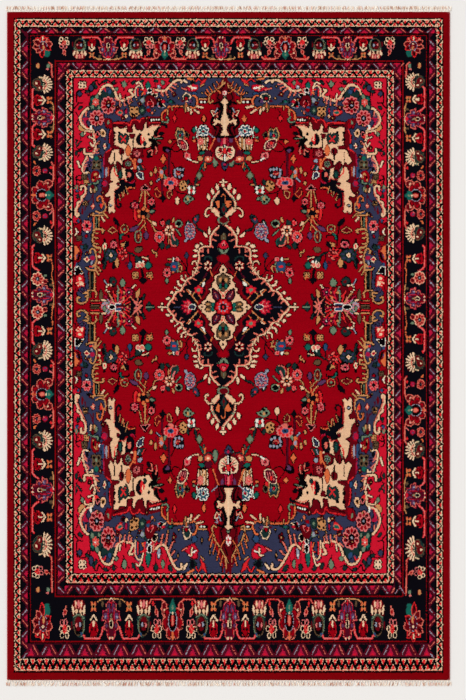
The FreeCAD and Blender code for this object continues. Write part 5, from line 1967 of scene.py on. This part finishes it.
@dataclass(frozen=True)
class Cloth:
    """Cotton ground: plied wefts over warps, with the backs of the knots showing through."""

    name: str

    def material(self) -> bpy.types.Material:
        """The material.

        Returns:
            Ribbed cotton that reads its dye from the mesh.
        """
        cloth = Shader(self.name, 0.95, 0.05, 0.05)
        dye = cloth.add("Attribute", {"attribute_name": "dye"}, output="Color")
        wefts, warps = (cloth.add("TexWave", {"bands_direction": way, "wave_profile": "SIN"},
                                  {"Vector": cloth.place((100, 100, 100)), "Scale": 1.05,
                                   "Distortion": waver, "Detail": 1.0}, "Fac")
                        for way, waver in (("Y", 1.2), ("X", 0.8)))
        bare = (wefts * 0.5 + cloth.noise((260, 160, 1), 2) * 0.8).between(0.62, 0.95)
        colour = cloth.mix(bare, dye, linear(204, 190, 160))
        cloth.feed("Base Color", cloth.shade(colour, 0.85 + warps * 0.2))
        cloth.raise_by(wefts * 0.5 + warps * 0.5, 0.0006)
        return cloth.material


@dataclass(frozen=True)
class Yarn:
    """Plied yarn: one colour with lighter fibres and darker flecks, ribbed along its twist."""

    name: str
    base: Sequence[float]
    light: Sequence[float]
    fleck: Sequence[float]
    flecked: float
    grain: Sequence[float] = (420, 110, 420)
    nap: float = 0.0005

    def material(self) -> bpy.types.Material:
        """The material.

        Returns:
            The flecked yarn.
        """
        yarn = Shader(self.name, 0.95, 0.05, 0.08)
        fibres = yarn.noise(self.grain, 3, 0.6)
        colour = yarn.mix(fibres.between(0.35, 0.7), linear(*self.base), linear(*self.light))
        marks = yarn.noise(tuple(g * 0.62 for g in self.grain), 2, 0.6, 0.6)
        colour = yarn.mix(marks.between(1 - self.flecked, 1.12 - self.flecked), colour,
                          linear(*self.fleck))
        yarn.feed("Base Color", yarn.shade(colour, 0.9 + yarn.noise((30, 30, 30)) * 0.2))
        yarn.raise_by(fibres, self.nap)
        return yarn.material


@dataclass(frozen=True)
class LooseCotton:
    """Loose warp ends: fibres along each strand, over a shade that each strand has."""

    name: str

    def material(self) -> bpy.types.Material:
        """The material.

        Returns:
            Cotton that reads its shade from the mesh.
        """
        cotton = Shader(self.name, 0.95, 0.03, 0.06)
        shade = cotton.add("Attribute", {"attribute_name": "dye"}, output="Color")
        fibres = cotton.noise((900, 180, 900), 3, 0.6)
        cotton.feed("Base Color", cotton.shade(shade, 0.8 + fibres * 0.4))
        cotton.raise_by(fibres, 0.0005)
        return cotton.material


class Piece:
    """A mesh on the bench, and the tools that shape it."""

    def __init__(self, name: str, primitive: Callable, **sizes: object) -> None:
        """Add a primitive and take it in hand.

        Args:
            name: The piece's name.
            primitive: The operator that adds it.
            sizes: What the operator is told.
        """
        bpy.ops.object.select_all(action="DESELECT")
        primitive(**sizes)
        self.solid = bpy.context.object
        self.solid.name = self.solid.data.name = name

    @classmethod
    def grid(cls, name: str, low: Vector, high: Vector, height: float, across: int,
             along: int) -> "Piece":
        """A flat grid between two corners.

        Args:
            name: The piece's name.
            low: The lowest corner.
            high: The highest corner.
            height: The grid's height.
            across: How many faces it has across.
            along: How many it has along.

        Returns:
            The piece.
        """
        piece = cls(name, bpy.ops.mesh.primitive_grid_add, x_subdivisions=across,
                    y_subdivisions=along, size=1)
        piece.edit()
        bpy.ops.transform.resize(value=(high.x - low.x, high.y - low.y, 1),
                                 center_override=(0, 0, 0))
        bpy.ops.transform.translate(value=((low.x + high.x) / 2, (low.y + high.y) / 2, height))
        piece.done()
        return piece

    def edit(self, chosen: Optional[np.ndarray] = None) -> None:
        """Go into edit mode, with everything selected or only the faces chosen.

        Args:
            chosen: Whether each face is selected.
        """
        bpy.context.view_layer.objects.active = self.solid
        if chosen is not None:
            bpy.ops.object.mode_set(mode="EDIT")
            bpy.ops.mesh.select_mode(type="FACE")
            bpy.ops.mesh.select_all(action="DESELECT")
            bpy.ops.object.mode_set(mode="OBJECT")
            self.solid.data.polygons.foreach_set("select", chosen)
        bpy.ops.object.mode_set(mode="EDIT")
        if chosen is None:
            bpy.ops.mesh.select_all(action="SELECT")

    def done(self) -> None:
        """Leave edit mode."""
        bpy.ops.object.mode_set(mode="OBJECT")

    def wall(self, depth: float) -> None:
        """Pull the rim down and close it there.

        Args:
            depth: How far down; a negative one pulls it up.
        """
        self.edit()
        bpy.ops.mesh.region_to_loop()
        bpy.ops.mesh.extrude_edges_move(TRANSFORM_OT_translate={"value": (0, 0, -depth)})
        bpy.ops.mesh.edge_face_add()
        self.outwards()
        self.done()

    def outwards(self) -> None:
        """Turn every face outwards, in edit mode."""
        bpy.ops.mesh.select_all(action="SELECT")
        bpy.ops.mesh.normals_make_consistent(inside=False)

    def points(self) -> np.ndarray:
        """The place of every point.

        Returns:
            The places.
        """
        flat = np.empty(3 * len(self.solid.data.vertices))
        self.solid.data.vertices.foreach_get("co", flat)
        return flat.reshape(-1, 3)

    def settle(self, points: np.ndarray) -> None:
        """Put every point in its new place."""
        self.solid.data.vertices.foreach_set("co", points.ravel())
        self.solid.data.update()

    def middles(self) -> np.ndarray:
        """The middle of every face.

        Returns:
            The places.
        """
        flat = np.empty(3 * len(self.solid.data.polygons))
        self.solid.data.polygons.foreach_get("center", flat)
        return flat.reshape(-1, 3)

    def dye(self, colours: np.ndarray) -> None:
        """Give every face its colour, as the attribute that the wool reads.

        Args:
            colours: A linear colour for each face.
        """
        mesh = self.solid.data
        corners = np.empty(len(mesh.polygons), dtype=np.int32)
        mesh.polygons.foreach_get("loop_total", corners)
        values = np.ones((int(corners.sum()), 4))
        values[:, :3] = np.repeat(colours, corners, axis=0)
        layer = mesh.color_attributes.new(name="dye", type="BYTE_COLOR", domain="CORNER")
        layer.data.foreach_set("color", values.ravel())

    def repeat(self, count: int, step: Sequence[float], merged: bool = False) -> None:
        """Copy the mesh in a row.

        Args:
            count: How many there are in all.
            step: How far each is from the last.
            merged: Whether spots that touch are joined.
        """
        bpy.context.view_layer.objects.active = self.solid
        row = self.solid.modifiers.new("row", "ARRAY")
        row.count, row.use_relative_offset, row.use_constant_offset = count, False, True
        row.constant_offset_displace = step
        row.use_merge_vertices, row.merge_threshold = merged, HAIR
        bpy.ops.object.modifier_apply(modifier=row.name)

    def smooth(self, angle: float = 60) -> None:
        """Shade smooth across all but sharp edges.

        Args:
            angle: From how many degrees an edge is sharp.
        """
        bpy.ops.object.select_all(action="DESELECT")
        self.solid.select_set(True)
        bpy.context.view_layer.objects.active = self.solid
        bpy.ops.object.shade_smooth_by_angle(angle=math.radians(angle))

    def finish(self, material: bpy.types.Material, slot: str, body: str, *nodes: str) -> None:
        """Dress the piece and put it on its body.

        Args:
            material: Its finish.
            slot: The record's material slot; it is not used.
            body: The body that it rides on.
            nodes: The CAD nodes that it stands for.
        """
        self.solid.data.materials.clear()
        self.solid.data.materials.append(material)
        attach(self.solid, body)
        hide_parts(*nodes)
        LOG.info("%s: %d faces, stands for %s", self.solid.name, len(self.solid.data.polygons),
                 ", ".join(nodes))


@dataclass
class Weaving:
    """The drawing made wool: the colour and the lift of every knot.

    Shade and tint are how much knots of one dye differ in light and in hue, and slip is the
    share of them that are tied one place out. Lengths are in metres: the corner's radius, how
    uneven the tufts are, and how wide and deep the pile rolls over at the rug's edge.
    """

    cartoon: Cartoon
    low: Vector
    high: Vector
    corner: float = 0.008
    slip: float = 0.07
    shade: float = 0.07
    tint: float = 0.03
    tuft: float = 0.0008
    roll_width: float = 0.007
    roll_depth: float = 0.0025
    seed: int = 41

    def __post_init__(self) -> None:
        """Tie each knot, a few of them one place out, and dye it a little differently."""
        chance = np.random.default_rng(self.seed)
        table = np.array([linear(*dye.value) for dye in Dye])
        shape = self.cartoon.knots.shape
        slips = chance.choice((-1, 0, 1), (2, *shape),
                              p=(self.slip, 1 - 2 * self.slip, self.slip))
        row, column = (np.clip(place + slips[way], 0, shape[way] - 1)
                       for way, place in enumerate(np.indices(shape)))
        self.colours = table[self.cartoon.knots[row, column]]
        self.colours = self.colours * chance.normal(1, self.shade, (*shape, 1))
        self.colours *= chance.normal(1, self.tint, (*shape, 3))
        self.lift = chance.random((shape[0] + 2, shape[1] + 2))

    def knots_at(self, points: np.ndarray) -> tuple[np.ndarray, np.ndarray]:
        """The row and column of the knot at each point.

        Args:
            points: Points on the rug.

        Returns:
            The rows and the columns.
        """
        rows = ((self.high.y - points[:, 1]) / KNOT).astype(int)
        columns = ((points[:, 0] - self.low.x) / KNOT).astype(int)
        return (np.clip(rows, 0, self.cartoon.rows - 1),
                np.clip(columns, 0, self.cartoon.columns - 1))

    def colour_at(self, points: np.ndarray) -> np.ndarray:
        """The colour of the knot at each point."""
        rows, columns = self.knots_at(points)
        return np.clip(self.colours[rows, columns], 0, 1)

    def rounded(self, points: np.ndarray, half_width: float, half_length: float) -> None:
        """Pull what lies beyond the rounded corners of a rectangle in to them.

        Args:
            points: The points, which are moved.
            half_width: Half the rectangle's width.
            half_length: Half the rectangle's length.
        """
        middle = np.array([half_width, half_length]) - self.corner
        flat = points[:, :2]
        past = np.maximum(np.abs(flat) - middle, 0)
        reach = np.hypot(past[:, 0], past[:, 1])
        far = (past > 0).all(axis=1) & (reach > self.corner)
        pulled = middle + past[far] * (self.corner / reach[far])[:, None]
        points[far, :2] = pulled * np.sign(flat[far])

    def relief(self, piece: Piece, top: float) -> None:
        """Give the tufts their uneven height, and roll the pile over at the rug's edge.

        Args:
            piece: A piece of the pile.
            top: The height of the pile.
        """
        points = piece.points()
        tips = points[:, 2] > top - HAIR
        rows, columns = self.knots_at(points[tips])
        edge = np.minimum(self.high.x - np.abs(points[tips, 0]),
                          self.high.y - np.abs(points[tips, 1]))
        roll = np.clip(1 - edge / self.roll_width, 0, 1) ** 2
        points[tips, 2] -= self.tuft * self.lift[rows, columns] + self.roll_depth * roll
        self.rounded(points, self.high.x, self.high.y)
        piece.settle(points)


@dataclass
class Pile:
    """The knotted pile, one piece for each stripe and figure, with a face for each knot.

    The streaks are how much rows differ in light, and largest is the most knots in one piece.
    """

    weaving: Weaving
    streaks: float = 0.22
    field_streaks: float = 0.42
    largest: int = 90000
    stripes: dict[str, str] = field(default_factory=lambda: {
        "edge_band": "pile_edge_red", "guard_outer": "pile_guard",
        "minor_border_outer": "pile_minor_border", "main_border": "pile_main_border",
        "minor_border_inner": "pile_minor_border", "guard_inner": "pile_guard"})
    figures: dict[str, str] = field(default_factory=lambda: {
        "field_ground": "pile_field", "medallion": "pile_medallion",
        "pendant": "pile_pendant", "spandrel": "pile_spandrel"})

    def build(self) -> None:
        """Build and dress every piece of the pile."""
        streaks = {"pile_field": self.field_streaks}
        wool = {slot: PileWool(slot, streaks.get(slot, self.streaks)).material()
                for slot in {*self.stripes.values(), *self.figures.values()}}
        for stripe, slot in self.stripes.items():
            for side in Side:
                self.stripe(stripe + "_" + side.word, wool[slot], slot)
        self.map_figures()
        for node in self.figure_nodes:
            slot = next(s for word, s in self.figures.items() if node.startswith(word))
            self.figure(node, wool[slot], slot)

    def finish(self, piece: Piece, low: Vector, high: Vector, wool: bpy.types.Material,
               slot: str, node: str) -> None:
        """Give a flat piece its depth, its tufts and its dyes.

        Args:
            piece: The piece, still a flat grid at the height of the pile.
            low: Its node's lowest corner.
            high: Its node's highest corner.
            wool: Its finish.
            slot: The record's material slot.
            node: The node that it stands for.
        """
        piece.wall(high.z - low.z)
        self.weaving.relief(piece, high.z)
        piece.dye(self.weaving.colour_at(piece.middles()))
        piece.smooth()
        piece.finish(wool, slot, "rug", node)

    def stripe(self, node: str, wool: bpy.types.Material, slot: str) -> None:
        """Build one side of one stripe of the border.

        Args:
            node: The node that it stands for.
            wool: Its finish.
            slot: The record's material slot.
        """
        low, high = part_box(node)
        across, along = (max(2, round((high[way] - low[way]) / KNOT)) for way in (0, 1))
        piece = Piece.grid(node + "_pile", low, high, high.z, across, along)
        self.finish(piece, low, high, wool, slot, node)

    def map_figures(self) -> None:
        """Give every knot of the field to the node whose top face it lies on."""
        nodes = sorted(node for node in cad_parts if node.startswith(tuple(self.figures)))
        boxes = [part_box(node) for node in nodes]
        self.low = Vector(min(low[way] for low, high in boxes) for way in range(3))
        self.high = Vector(max(high[way] for low, high in boxes) for way in range(3))
        self.cells = tuple(round((self.high[way] - self.low[way]) / KNOT) for way in (0, 1))
        self.step = tuple((self.high[way] - self.low[way]) / self.cells[way] for way in (0, 1))
        across, along = np.meshgrid(*(self.low[way] + (np.arange(self.cells[way]) + 0.5)
                                      * self.step[way] for way in (0, 1)))
        self.figure_nodes = nodes
        self.owner = np.zeros(across.shape, dtype=int)
        for number, node in enumerate(nodes):
            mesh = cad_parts[node].data
            inside = np.zeros(across.shape, dtype=bool)
            for face in mesh.polygons:
                if face.normal.z > 0.9:
                    corners = np.array([mesh.vertices[v].co[:2] for v in face.vertices])
                    first, last = self.window(corners)
                    view = (slice(first[1], last[1]), slice(first[0], last[0]))
                    inside[view] ^= crossed(corners, across[view], along[view])
            self.owner[inside] = number
        for _ in range(3):
            a, b = self.owner[:-1, :-1], self.owner[:-1, 1:]
            c, d = self.owner[1:, :-1], self.owner[1:, 1:]
            pinched = (a == d) & (b == c) & (a != b)
            self.owner[:-1, 1:][pinched] = a[pinched]

    def window(self, corners: np.ndarray) -> tuple[np.ndarray, np.ndarray]:
        """The knots that a face may reach.

        Args:
            corners: The face's corners.

        Returns:
            The first knot, across and along, and the one past the last.
        """
        start, step = np.array(self.low[:2]), np.array(self.step)
        first = np.floor((corners.min(axis=0) - start) / step).astype(int) - 1
        last = np.ceil((corners.max(axis=0) - start) / step).astype(int) + 1
        return np.maximum(first, 0), np.minimum(last, self.cells)

    def figure(self, node: str, wool: bpy.types.Material, slot: str) -> None:
        """Build one figure of the field, cut along its knots; a large one is in two parts.

        Args:
            node: The node that it stands for.
            wool: Its finish.
            slot: The record's material slot.
        """
        mine = self.owner == self.figure_nodes.index(node)
        rows = np.flatnonzero(mine.any(axis=1))
        columns = np.flatnonzero(mine.any(axis=0))
        parts = 2 if mine.sum() > self.largest else 1
        cuts = np.linspace(rows[0], rows[-1] + 1, parts + 1).astype(int)
        for part, (first, last) in enumerate(zip(cuts[:-1], cuts[1:])):
            share = mine[first:last, columns[0]:columns[-1] + 1]
            low = Vector((self.low.x + columns[0] * self.step[0],
                          self.low.y + first * self.step[1], self.low.z))
            high = Vector((self.low.x + (columns[-1] + 1) * self.step[0],
                           self.low.y + last * self.step[1], self.high.z))
            name = node + "_pile" + (("_south", "_north")[part] if parts > 1 else "")
            piece = Piece.grid(name, low, high, high.z, share.shape[1], share.shape[0])
            middles = piece.middles()
            column = ((middles[:, 0] - low.x) / self.step[0]).astype(int)
            row = ((middles[:, 1] - low.y) / self.step[1]).astype(int)
            piece.edit(~share[row, column])
            bpy.ops.mesh.delete(type="FACE")
            piece.done()
            self.finish(piece, low, high, wool, slot, node)


@dataclass
class Foundation:
    """The warps and wefts under the pile, with the design showing through from below.

    In metres, ribs is the size of a face, and the underside rises by the ripple, but not
    within the hem.
    """

    weaving: Weaving
    ribs: float = 0.0083
    ripple: float = 0.0004
    hem: float = 0.004

    def build(self) -> None:
        low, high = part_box("foundation_weave")
        size = high - low
        piece = Piece.grid("foundation_cloth", low, high, low.z, round(size.x / self.ribs),
                           round(size.y / self.ribs))
        piece.wall(low.z - high.z)
        points = piece.points()
        self.weaving.rounded(points, high.x, high.y)
        inner = ((points[:, 2] < low.z + HAIR) & (np.abs(points[:, 0]) < high.x - self.hem)
                 & (np.abs(points[:, 1]) < high.y - self.hem))
        ripple = np.sin(points[:, 0] * 40 + 1) * np.sin(points[:, 1] * 31) * 0.5 + 0.5
        points[inner, 2] += self.ripple * ripple[inner]
        piece.settle(points)
        piece.dye(self.weaving.colour_at(piece.middles()) * 0.8 + 0.04)
        piece.smooth(40)
        piece.finish(Cloth("cotton_foundation").material(), "cotton_foundation", "rug",
                     "foundation_weave")


@dataclass
class Selvedge:
    """A long side's edge: warps bundled in a core, and wool turned round it all the way.

    Each ring of a turn has its step on and the place it reaches, as shares of the turn, and
    how much it grows. The gap, the wool's valley, the fuzz and the overhang are in metres.
    """

    side: Side
    weaving: Weaving
    sides: int = 10
    slant: float = 0.35
    rings: tuple = ((0.3, 0.3, 1.14), (0.4, 0.7, 1.0), (0.3, 1, 1 / 1.14))
    gap: float = 0.0002
    valley: float = 0.0004
    fuzz: float = 0.0002
    overhang: float = 0.0015

    def build(self) -> None:
        """Build one turn of the wool, and lay turn beside turn along the core."""
        node = "selvedge_wrap_" + self.side.word
        low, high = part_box(node)
        turns = round((high.y - low.y) / KNOT)
        step = (high.y - low.y) / turns
        middle = (low + high) / 2
        radius = (high.z - low.z) / 2 - self.gap
        turn = Piece(node + "_turns", bpy.ops.mesh.primitive_circle_add, vertices=self.sides,
                     radius=radius - self.valley, location=(middle.x, low.y, middle.z),
                     rotation=(math.pi / 2, 0, 0))
        bpy.ops.object.transform_apply(location=True, rotation=True, scale=True)
        turn.edit()
        for share, reached, grow in self.rings:
            bpy.ops.mesh.extrude_edges_move(
                TRANSFORM_OT_translate={"value": (0, share * step, 0)})
            bpy.ops.transform.resize(value=(grow, 1, grow), center_override=(
                middle.x, low.y + step * reached, middle.z))
        turn.done()
        turn.repeat(turns, (0, step, 0), merged=True)
        turn.edit()
        bpy.ops.mesh.select_all(action="DESELECT")
        bpy.ops.mesh.select_mode(type="EDGE")
        bpy.ops.mesh.select_non_manifold()
        bpy.ops.mesh.edge_face_add()
        turn.outwards()
        turn.done()
        self.lay(turn, low, high, middle)
        turn.smooth(50)
        wool = Yarn("overcast_wool", (140, 6, 18), (186, 26, 40), (70, 2, 8), 0.4,
                    (500, 900, 500), 0.0006)
        turn.finish(wool.material(), "overcast_wool", "rug", node)
        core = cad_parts["selvedge_core_" + self.side.word]
        core.data.materials.clear()
        core.data.materials.append(Yarn("cotton_warp_bundle", (226, 214, 190),
                                        (240, 232, 214), (190, 170, 140), 0.4).material())

    def lay(self, turn: Piece, low: Vector, high: Vector, middle: Vector) -> None:
        """Slant the turns, vary them, and round off the two ends of the edge.

        Args:
            turn: The wound wool.
            low: The lowest corner of its node.
            high: The highest corner of its node.
            middle: The middle of its node.
        """
        points = turn.points()
        chance = np.random.default_rng(5 if self.side is Side.WEST else 6)
        most = 1100
        rows = np.clip(((points[:, 1] - low.y) / KNOT).astype(int), 0, most)
        points[:, 1] += (points[:, 2] - middle.z) * self.slant
        points[:, 2] += self.fuzz * chance.random(most + 1)[rows] - self.fuzz / 2
        length = self.weaving.high.y + self.overhang
        points[:, 1] = np.clip(points[:, 1], -length, length)
        self.weaving.rounded(points, high.x if high.x > 0 else -low.x, length)
        points[:, 2] = np.clip(points[:, 2], low.z, high.z)
        turn.settle(points)


@dataclass
class Fringe:
    """One end of the rug: its woven strip, the knots of the warps and their loose ends.

    A knot's rings are shares of its length and of its half width; a strand's are a share of
    its length and a radius. Spacing, the strip's scallop, fray, inset and crown, and the gap
    between strands are in metres.
    """

    side: Side
    sides: int = 6
    strands: int = 4
    spacing: float = 0.0125
    scallop: float = 0.0006
    fray: float = 0.001
    inset: float = 0.0012
    crown: float = 0.0022
    knot_start: float = 0.45
    knot_rings: tuple = ((0.15, 0.95), (0.4, 1.15), (0.5, 0.8), (0.62, 1.1), (0.88, 0.85),
                         (1, 0.45))
    knot_width: float = 1.6
    strand_start: float = 0.0007
    strand_rings: tuple = ((0.35, 0.0013), (0.7, 0.0012), (1, 0.0005))
    strand_gap: float = 0.0013
    # the brown and pink strand colours are partly dyed threads and partly painted shadow in the
    # gaps between strands
    strand_tones_and_gap_shadow: tuple = ((255, 246, 234), (242, 220, 200), (196, 146, 120), (226, 172, 156))
    shares: tuple[float, ...] = (0.42, 0.3, 0.18, 0.1)

    def __post_init__(self) -> None:
        """Find the knots' pitch and places."""
        self.out = self.side.value[1]
        self.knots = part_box("fringe_knots_" + self.side.word)
        self.chance = np.random.default_rng(11 + self.out)
        size = self.knots[1] - self.knots[0]
        self.girth = size.z
        self.count = round((size.x - self.girth) / self.spacing) + 1
        self.pitch = (size.x - self.girth) / (self.count - 1)

    def build(self) -> None:
        """Build the strip, the knots and the tassels."""
        self.strip()
        self.row_of_knots()
        self.tassels()

    def strip(self) -> None:
        """The white strip of plain weave between the pile and the knots."""
        node = "kilim_end_" + self.side.word
        low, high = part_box(node)
        piece = Piece.grid(node + "_weave", low, high, high.z, 8 * (self.count - 2), 5)
        piece.wall(high.z - low.z)
        points = piece.points()
        inside = min(abs(low.y), abs(high.y))
        reach = (np.abs(points[:, 1]) - inside) / (high.y - low.y)
        wave = np.abs(np.cos(points[:, 0] * math.pi / self.pitch))
        ragged = self.chance.random(4000)[((points[:, 0] + 2) * 320).astype(int)]
        points[:, 1] += self.out * reach * (self.scallop * wave + self.fray * ragged
                                            - self.inset)
        points[:, 2] += (points[:, 2] > low.z + 0.001) * self.crown * np.sin(
            math.pi * np.clip(reach, 0, 1)) * (0.6 + 0.4 * wave + 0.5 * ragged)
        piece.settle(points)
        piece.smooth()
        weave = Yarn("kilim_weave", (244, 230, 214), (255, 250, 242), (216, 178, 158), 0.38,
                     (260, 420, 260), 0.0008)
        piece.finish(weave.material(), "kilim_weave", "rug", node)

    def profile(self, name: str, radius: float, sides: int,
                rings: Sequence[tuple[float, float]]) -> Piece:
        """A closed round form along y, at the row's first knot.

        Args:
            name: The piece's name.
            radius: Its radius at the start.
            sides: How many sides it has.
            rings: For each further ring, how far on it lies and how wide it is there.

        Returns:
            The piece.
        """
        start = Vector((self.knots[0].x + self.girth / 2, 0, 0))
        piece = Piece(name, bpy.ops.mesh.primitive_circle_add, vertices=sides, radius=radius,
                      fill_type="NGON", location=start, rotation=(math.pi / 2, 0, 0))
        bpy.ops.object.transform_apply(location=True, rotation=True, scale=True)
        piece.edit()
        before = (0.0, radius)
        for along, wide in rings:
            bpy.ops.mesh.extrude_region_move(
                TRANSFORM_OT_translate={"value": (0, along - before[0], 0)})
            bpy.ops.transform.resize(value=(wide / before[1], 1, wide / before[1]),
                                     center_override=(start.x, along, 0))
            before = (along, wide)
        piece.outwards()
        piece.done()
        return piece

    def row_of_knots(self) -> None:
        """Each knot is a turn of the warps round themselves, with a groove between."""
        node = "fringe_knots_" + self.side.word
        low, high = self.knots
        length, wide = high.y - low.y, self.girth / 2
        piece = self.profile(node + "_tied", self.knot_start * wide, self.sides,
                             [(along * length, reach * wide) for along, reach in self.knot_rings])
        each = len(piece.solid.data.vertices)
        piece.repeat(self.count, (self.pitch, 0, 0))
        points = piece.points().reshape(self.count, each, 3)
        centre = self.knots[0].x + self.girth / 2 + self.pitch * np.arange(self.count)
        swell = 1 + 0.25 * self.chance.standard_normal(self.count).clip(-1, 1)
        lean = 0.4 * self.chance.standard_normal(self.count).clip(-1, 1)
        across = (points[:, :, 0] - centre[:, None]) * self.knot_width * swell[:, None]
        points[:, :, 0] = across + centre[:, None] + lean[:, None] * (points[:, :, 1]
                                                                      - length / 2)
        points[:, :, 1] += (lean * 0.002)[:, None]
        self.place(piece, points, low, high)
        cotton = Yarn("fringe_knots", (248, 236, 222), (255, 251, 244), (210, 168, 148), 0.4,
                      (420, 420, 420), 0.0006)
        piece.finish(cotton.material(), "fringe_knots", self.side.word + "_fringe", node)

    def place(self, piece: Piece, points: np.ndarray, low: Vector, high: Vector) -> None:
        """Turn a row to face out of the rug and set it at its place and height.

        Args:
            piece: The row.
            points: Its points.
            low: The lowest corner of its node.
            high: The highest corner of its node.
        """
        flat = points.reshape(-1, 3)
        flat[:, 1] = (low.y + flat[:, 1]) if self.out > 0 else (high.y - flat[:, 1])
        flat[:, 2] += (low.z + high.z) / 2
        flat[:, 2] = np.maximum(flat[:, 2], low.z)
        piece.settle(flat)
        if self.out < 0:
            piece.edit()
            piece.outwards()
            piece.done()
        piece.smooth()

    def tassels(self) -> None:
        """The loose warp ends beyond the knots, a few strands to each."""
        node = "fringe_tassels_" + self.side.word
        low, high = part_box(node)
        length = high.y - low.y
        piece = self.profile(node + "_strands", self.strand_start, 4,
                             [(along * length, radius) for along, radius in self.strand_rings])
        each = len(piece.solid.data.vertices)
        count = self.count * self.strands
        piece.repeat(count, (0, 0, 0))
        points = piece.points().reshape(count, each, 3)
        tassel = np.arange(count) // self.strands
        strand = (np.arange(count) % self.strands) - (self.strands - 1) / 2
        spread = (self.chance.normal(0, 0.16, count) + 0.2 * strand
                  + self.chance.normal(0, 0.34, self.count)[tassel])
        curl = self.chance.normal(0, 0.0013, count)
        share = points[:, :, 1] / length
        reach = np.clip(self.chance.normal(0.97, 0.05, count), 0.8, 1.04)
        points[:, :, 0] += ((tassel * self.pitch + strand * self.strand_gap)[:, None]
                            + spread[:, None] * share * length * 0.8
                            + curl[:, None] * np.sin(2.6 * share + strand[:, None]))
        points[:, :, 2] += ((0.0006 * (np.arange(count) % 3) - 0.0008)[:, None]
                            + 0.0012 * np.sin(math.pi * share))
        points[:, :, 1] *= reach[:, None]
        points[:, :, 0] = np.clip(points[:, :, 0], low.x - 0.003, high.x + 0.003)
        self.place(piece, points, low, high)
        # each strand takes one colour; the brown and pink ones are partly painted shadow between
        # strands and partly dyed threads
        strand_tones_and_gap_shadow = np.array([linear(*shade) for shade in self.strand_tones_and_gap_shadow])
        strands = strand_tones_and_gap_shadow[self.chance.choice(len(strand_tones_and_gap_shadow), count, p=self.shares)]
        piece.dye(np.repeat(strands, len(piece.solid.data.polygons) // count, axis=0))
        piece.finish(LooseCotton("fringe_cotton").material(), "fringe_cotton",
                     self.side.word + "_fringe", node)


@dataclass
class Studio:
    """The pale floor, the soft light and the camera straight above, in metres."""

    view: tuple[float, float] = (2.104, 3.161)
    aim: tuple[float, float] = (0.0205, -0.018)
    far: float = 14.0
    film: float = 36
    floor_level: float = -0.0004

    def build(self) -> None:
        """Build the floor, the light and the camera."""
        self.floor()
        self.light()
        self.camera()

    def floor(self) -> None:
        """A wide pale floor."""
        floor = Piece("studio_floor", bpy.ops.mesh.primitive_plane_add, size=80,
                      location=(0, 0, self.floor_level))
        bpy.ops.object.transform_apply(location=True, rotation=False, scale=False)
        paint = Shader("pale_floor", 0.9, 0.1)
        grain = paint.noise((3, 3, 3), 2)
        paint.feed("Base Color", paint.mix(grain * 0.3, linear(229, 226, 223),
                                           linear(226, 223, 221)))
        floor.solid.data.materials.append(paint.material)

    def light(self) -> None:
        """An even white room, and one soft lamp from the upper left."""
        world = bpy.data.worlds.new("studio")
        bpy.context.scene.world = world
        world.use_nodes = True
        room = world.node_tree.nodes["Background"]
        room.inputs["Color"].default_value = (1, 0.995, 0.985, 1)
        room.inputs["Strength"].default_value = 0.74
        lamp = bpy.data.lights.new("window", "SUN")
        lamp.energy, lamp.angle = 1.5, math.radians(24)
        holder = bpy.data.objects.new("window", lamp)
        bpy.context.collection.objects.link(holder)
        holder.rotation_euler = Vector((0.62, -0.5, -1.0)).to_track_quat("-Z", "Y").to_euler()
        bpy.context.scene.view_settings.view_transform = "Standard"

    def camera(self) -> None:
        """A long lens that looks straight down."""
        eye = bpy.data.cameras.new("camera")
        eye.sensor_width = self.film
        eye.lens = self.film * self.far / self.view[1]
        eye.clip_end = 200
        holder = bpy.data.objects.new("camera", eye)
        bpy.context.collection.objects.link(holder)
        holder.location = (*self.aim, self.far)
        bpy.context.scene.camera = holder


def main() -> None:
    """Build the rug, part by part, and the studio round it."""
    logging.basicConfig(level=logging.INFO, format="%(name)s: %(message)s")
    low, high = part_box("foundation_weave")
    cartoon = Cartoon(round((high.x - low.x) / KNOT), round((high.y - low.y) / KNOT))
    BorderDesign(cartoon).draw()
    FieldDesign(cartoon).draw()
    weaving = Weaving(cartoon, low, high)
    for part in (Pile(weaving), Foundation(weaving), Selvedge(Side.WEST, weaving),
                 Selvedge(Side.EAST, weaving), Fringe(Side.NORTH), Fringe(Side.SOUTH),
                 Studio()):
        part.build()
        LOG.info("%s is built", type(part).__name__)


if __name__ == "__main__":
    main()
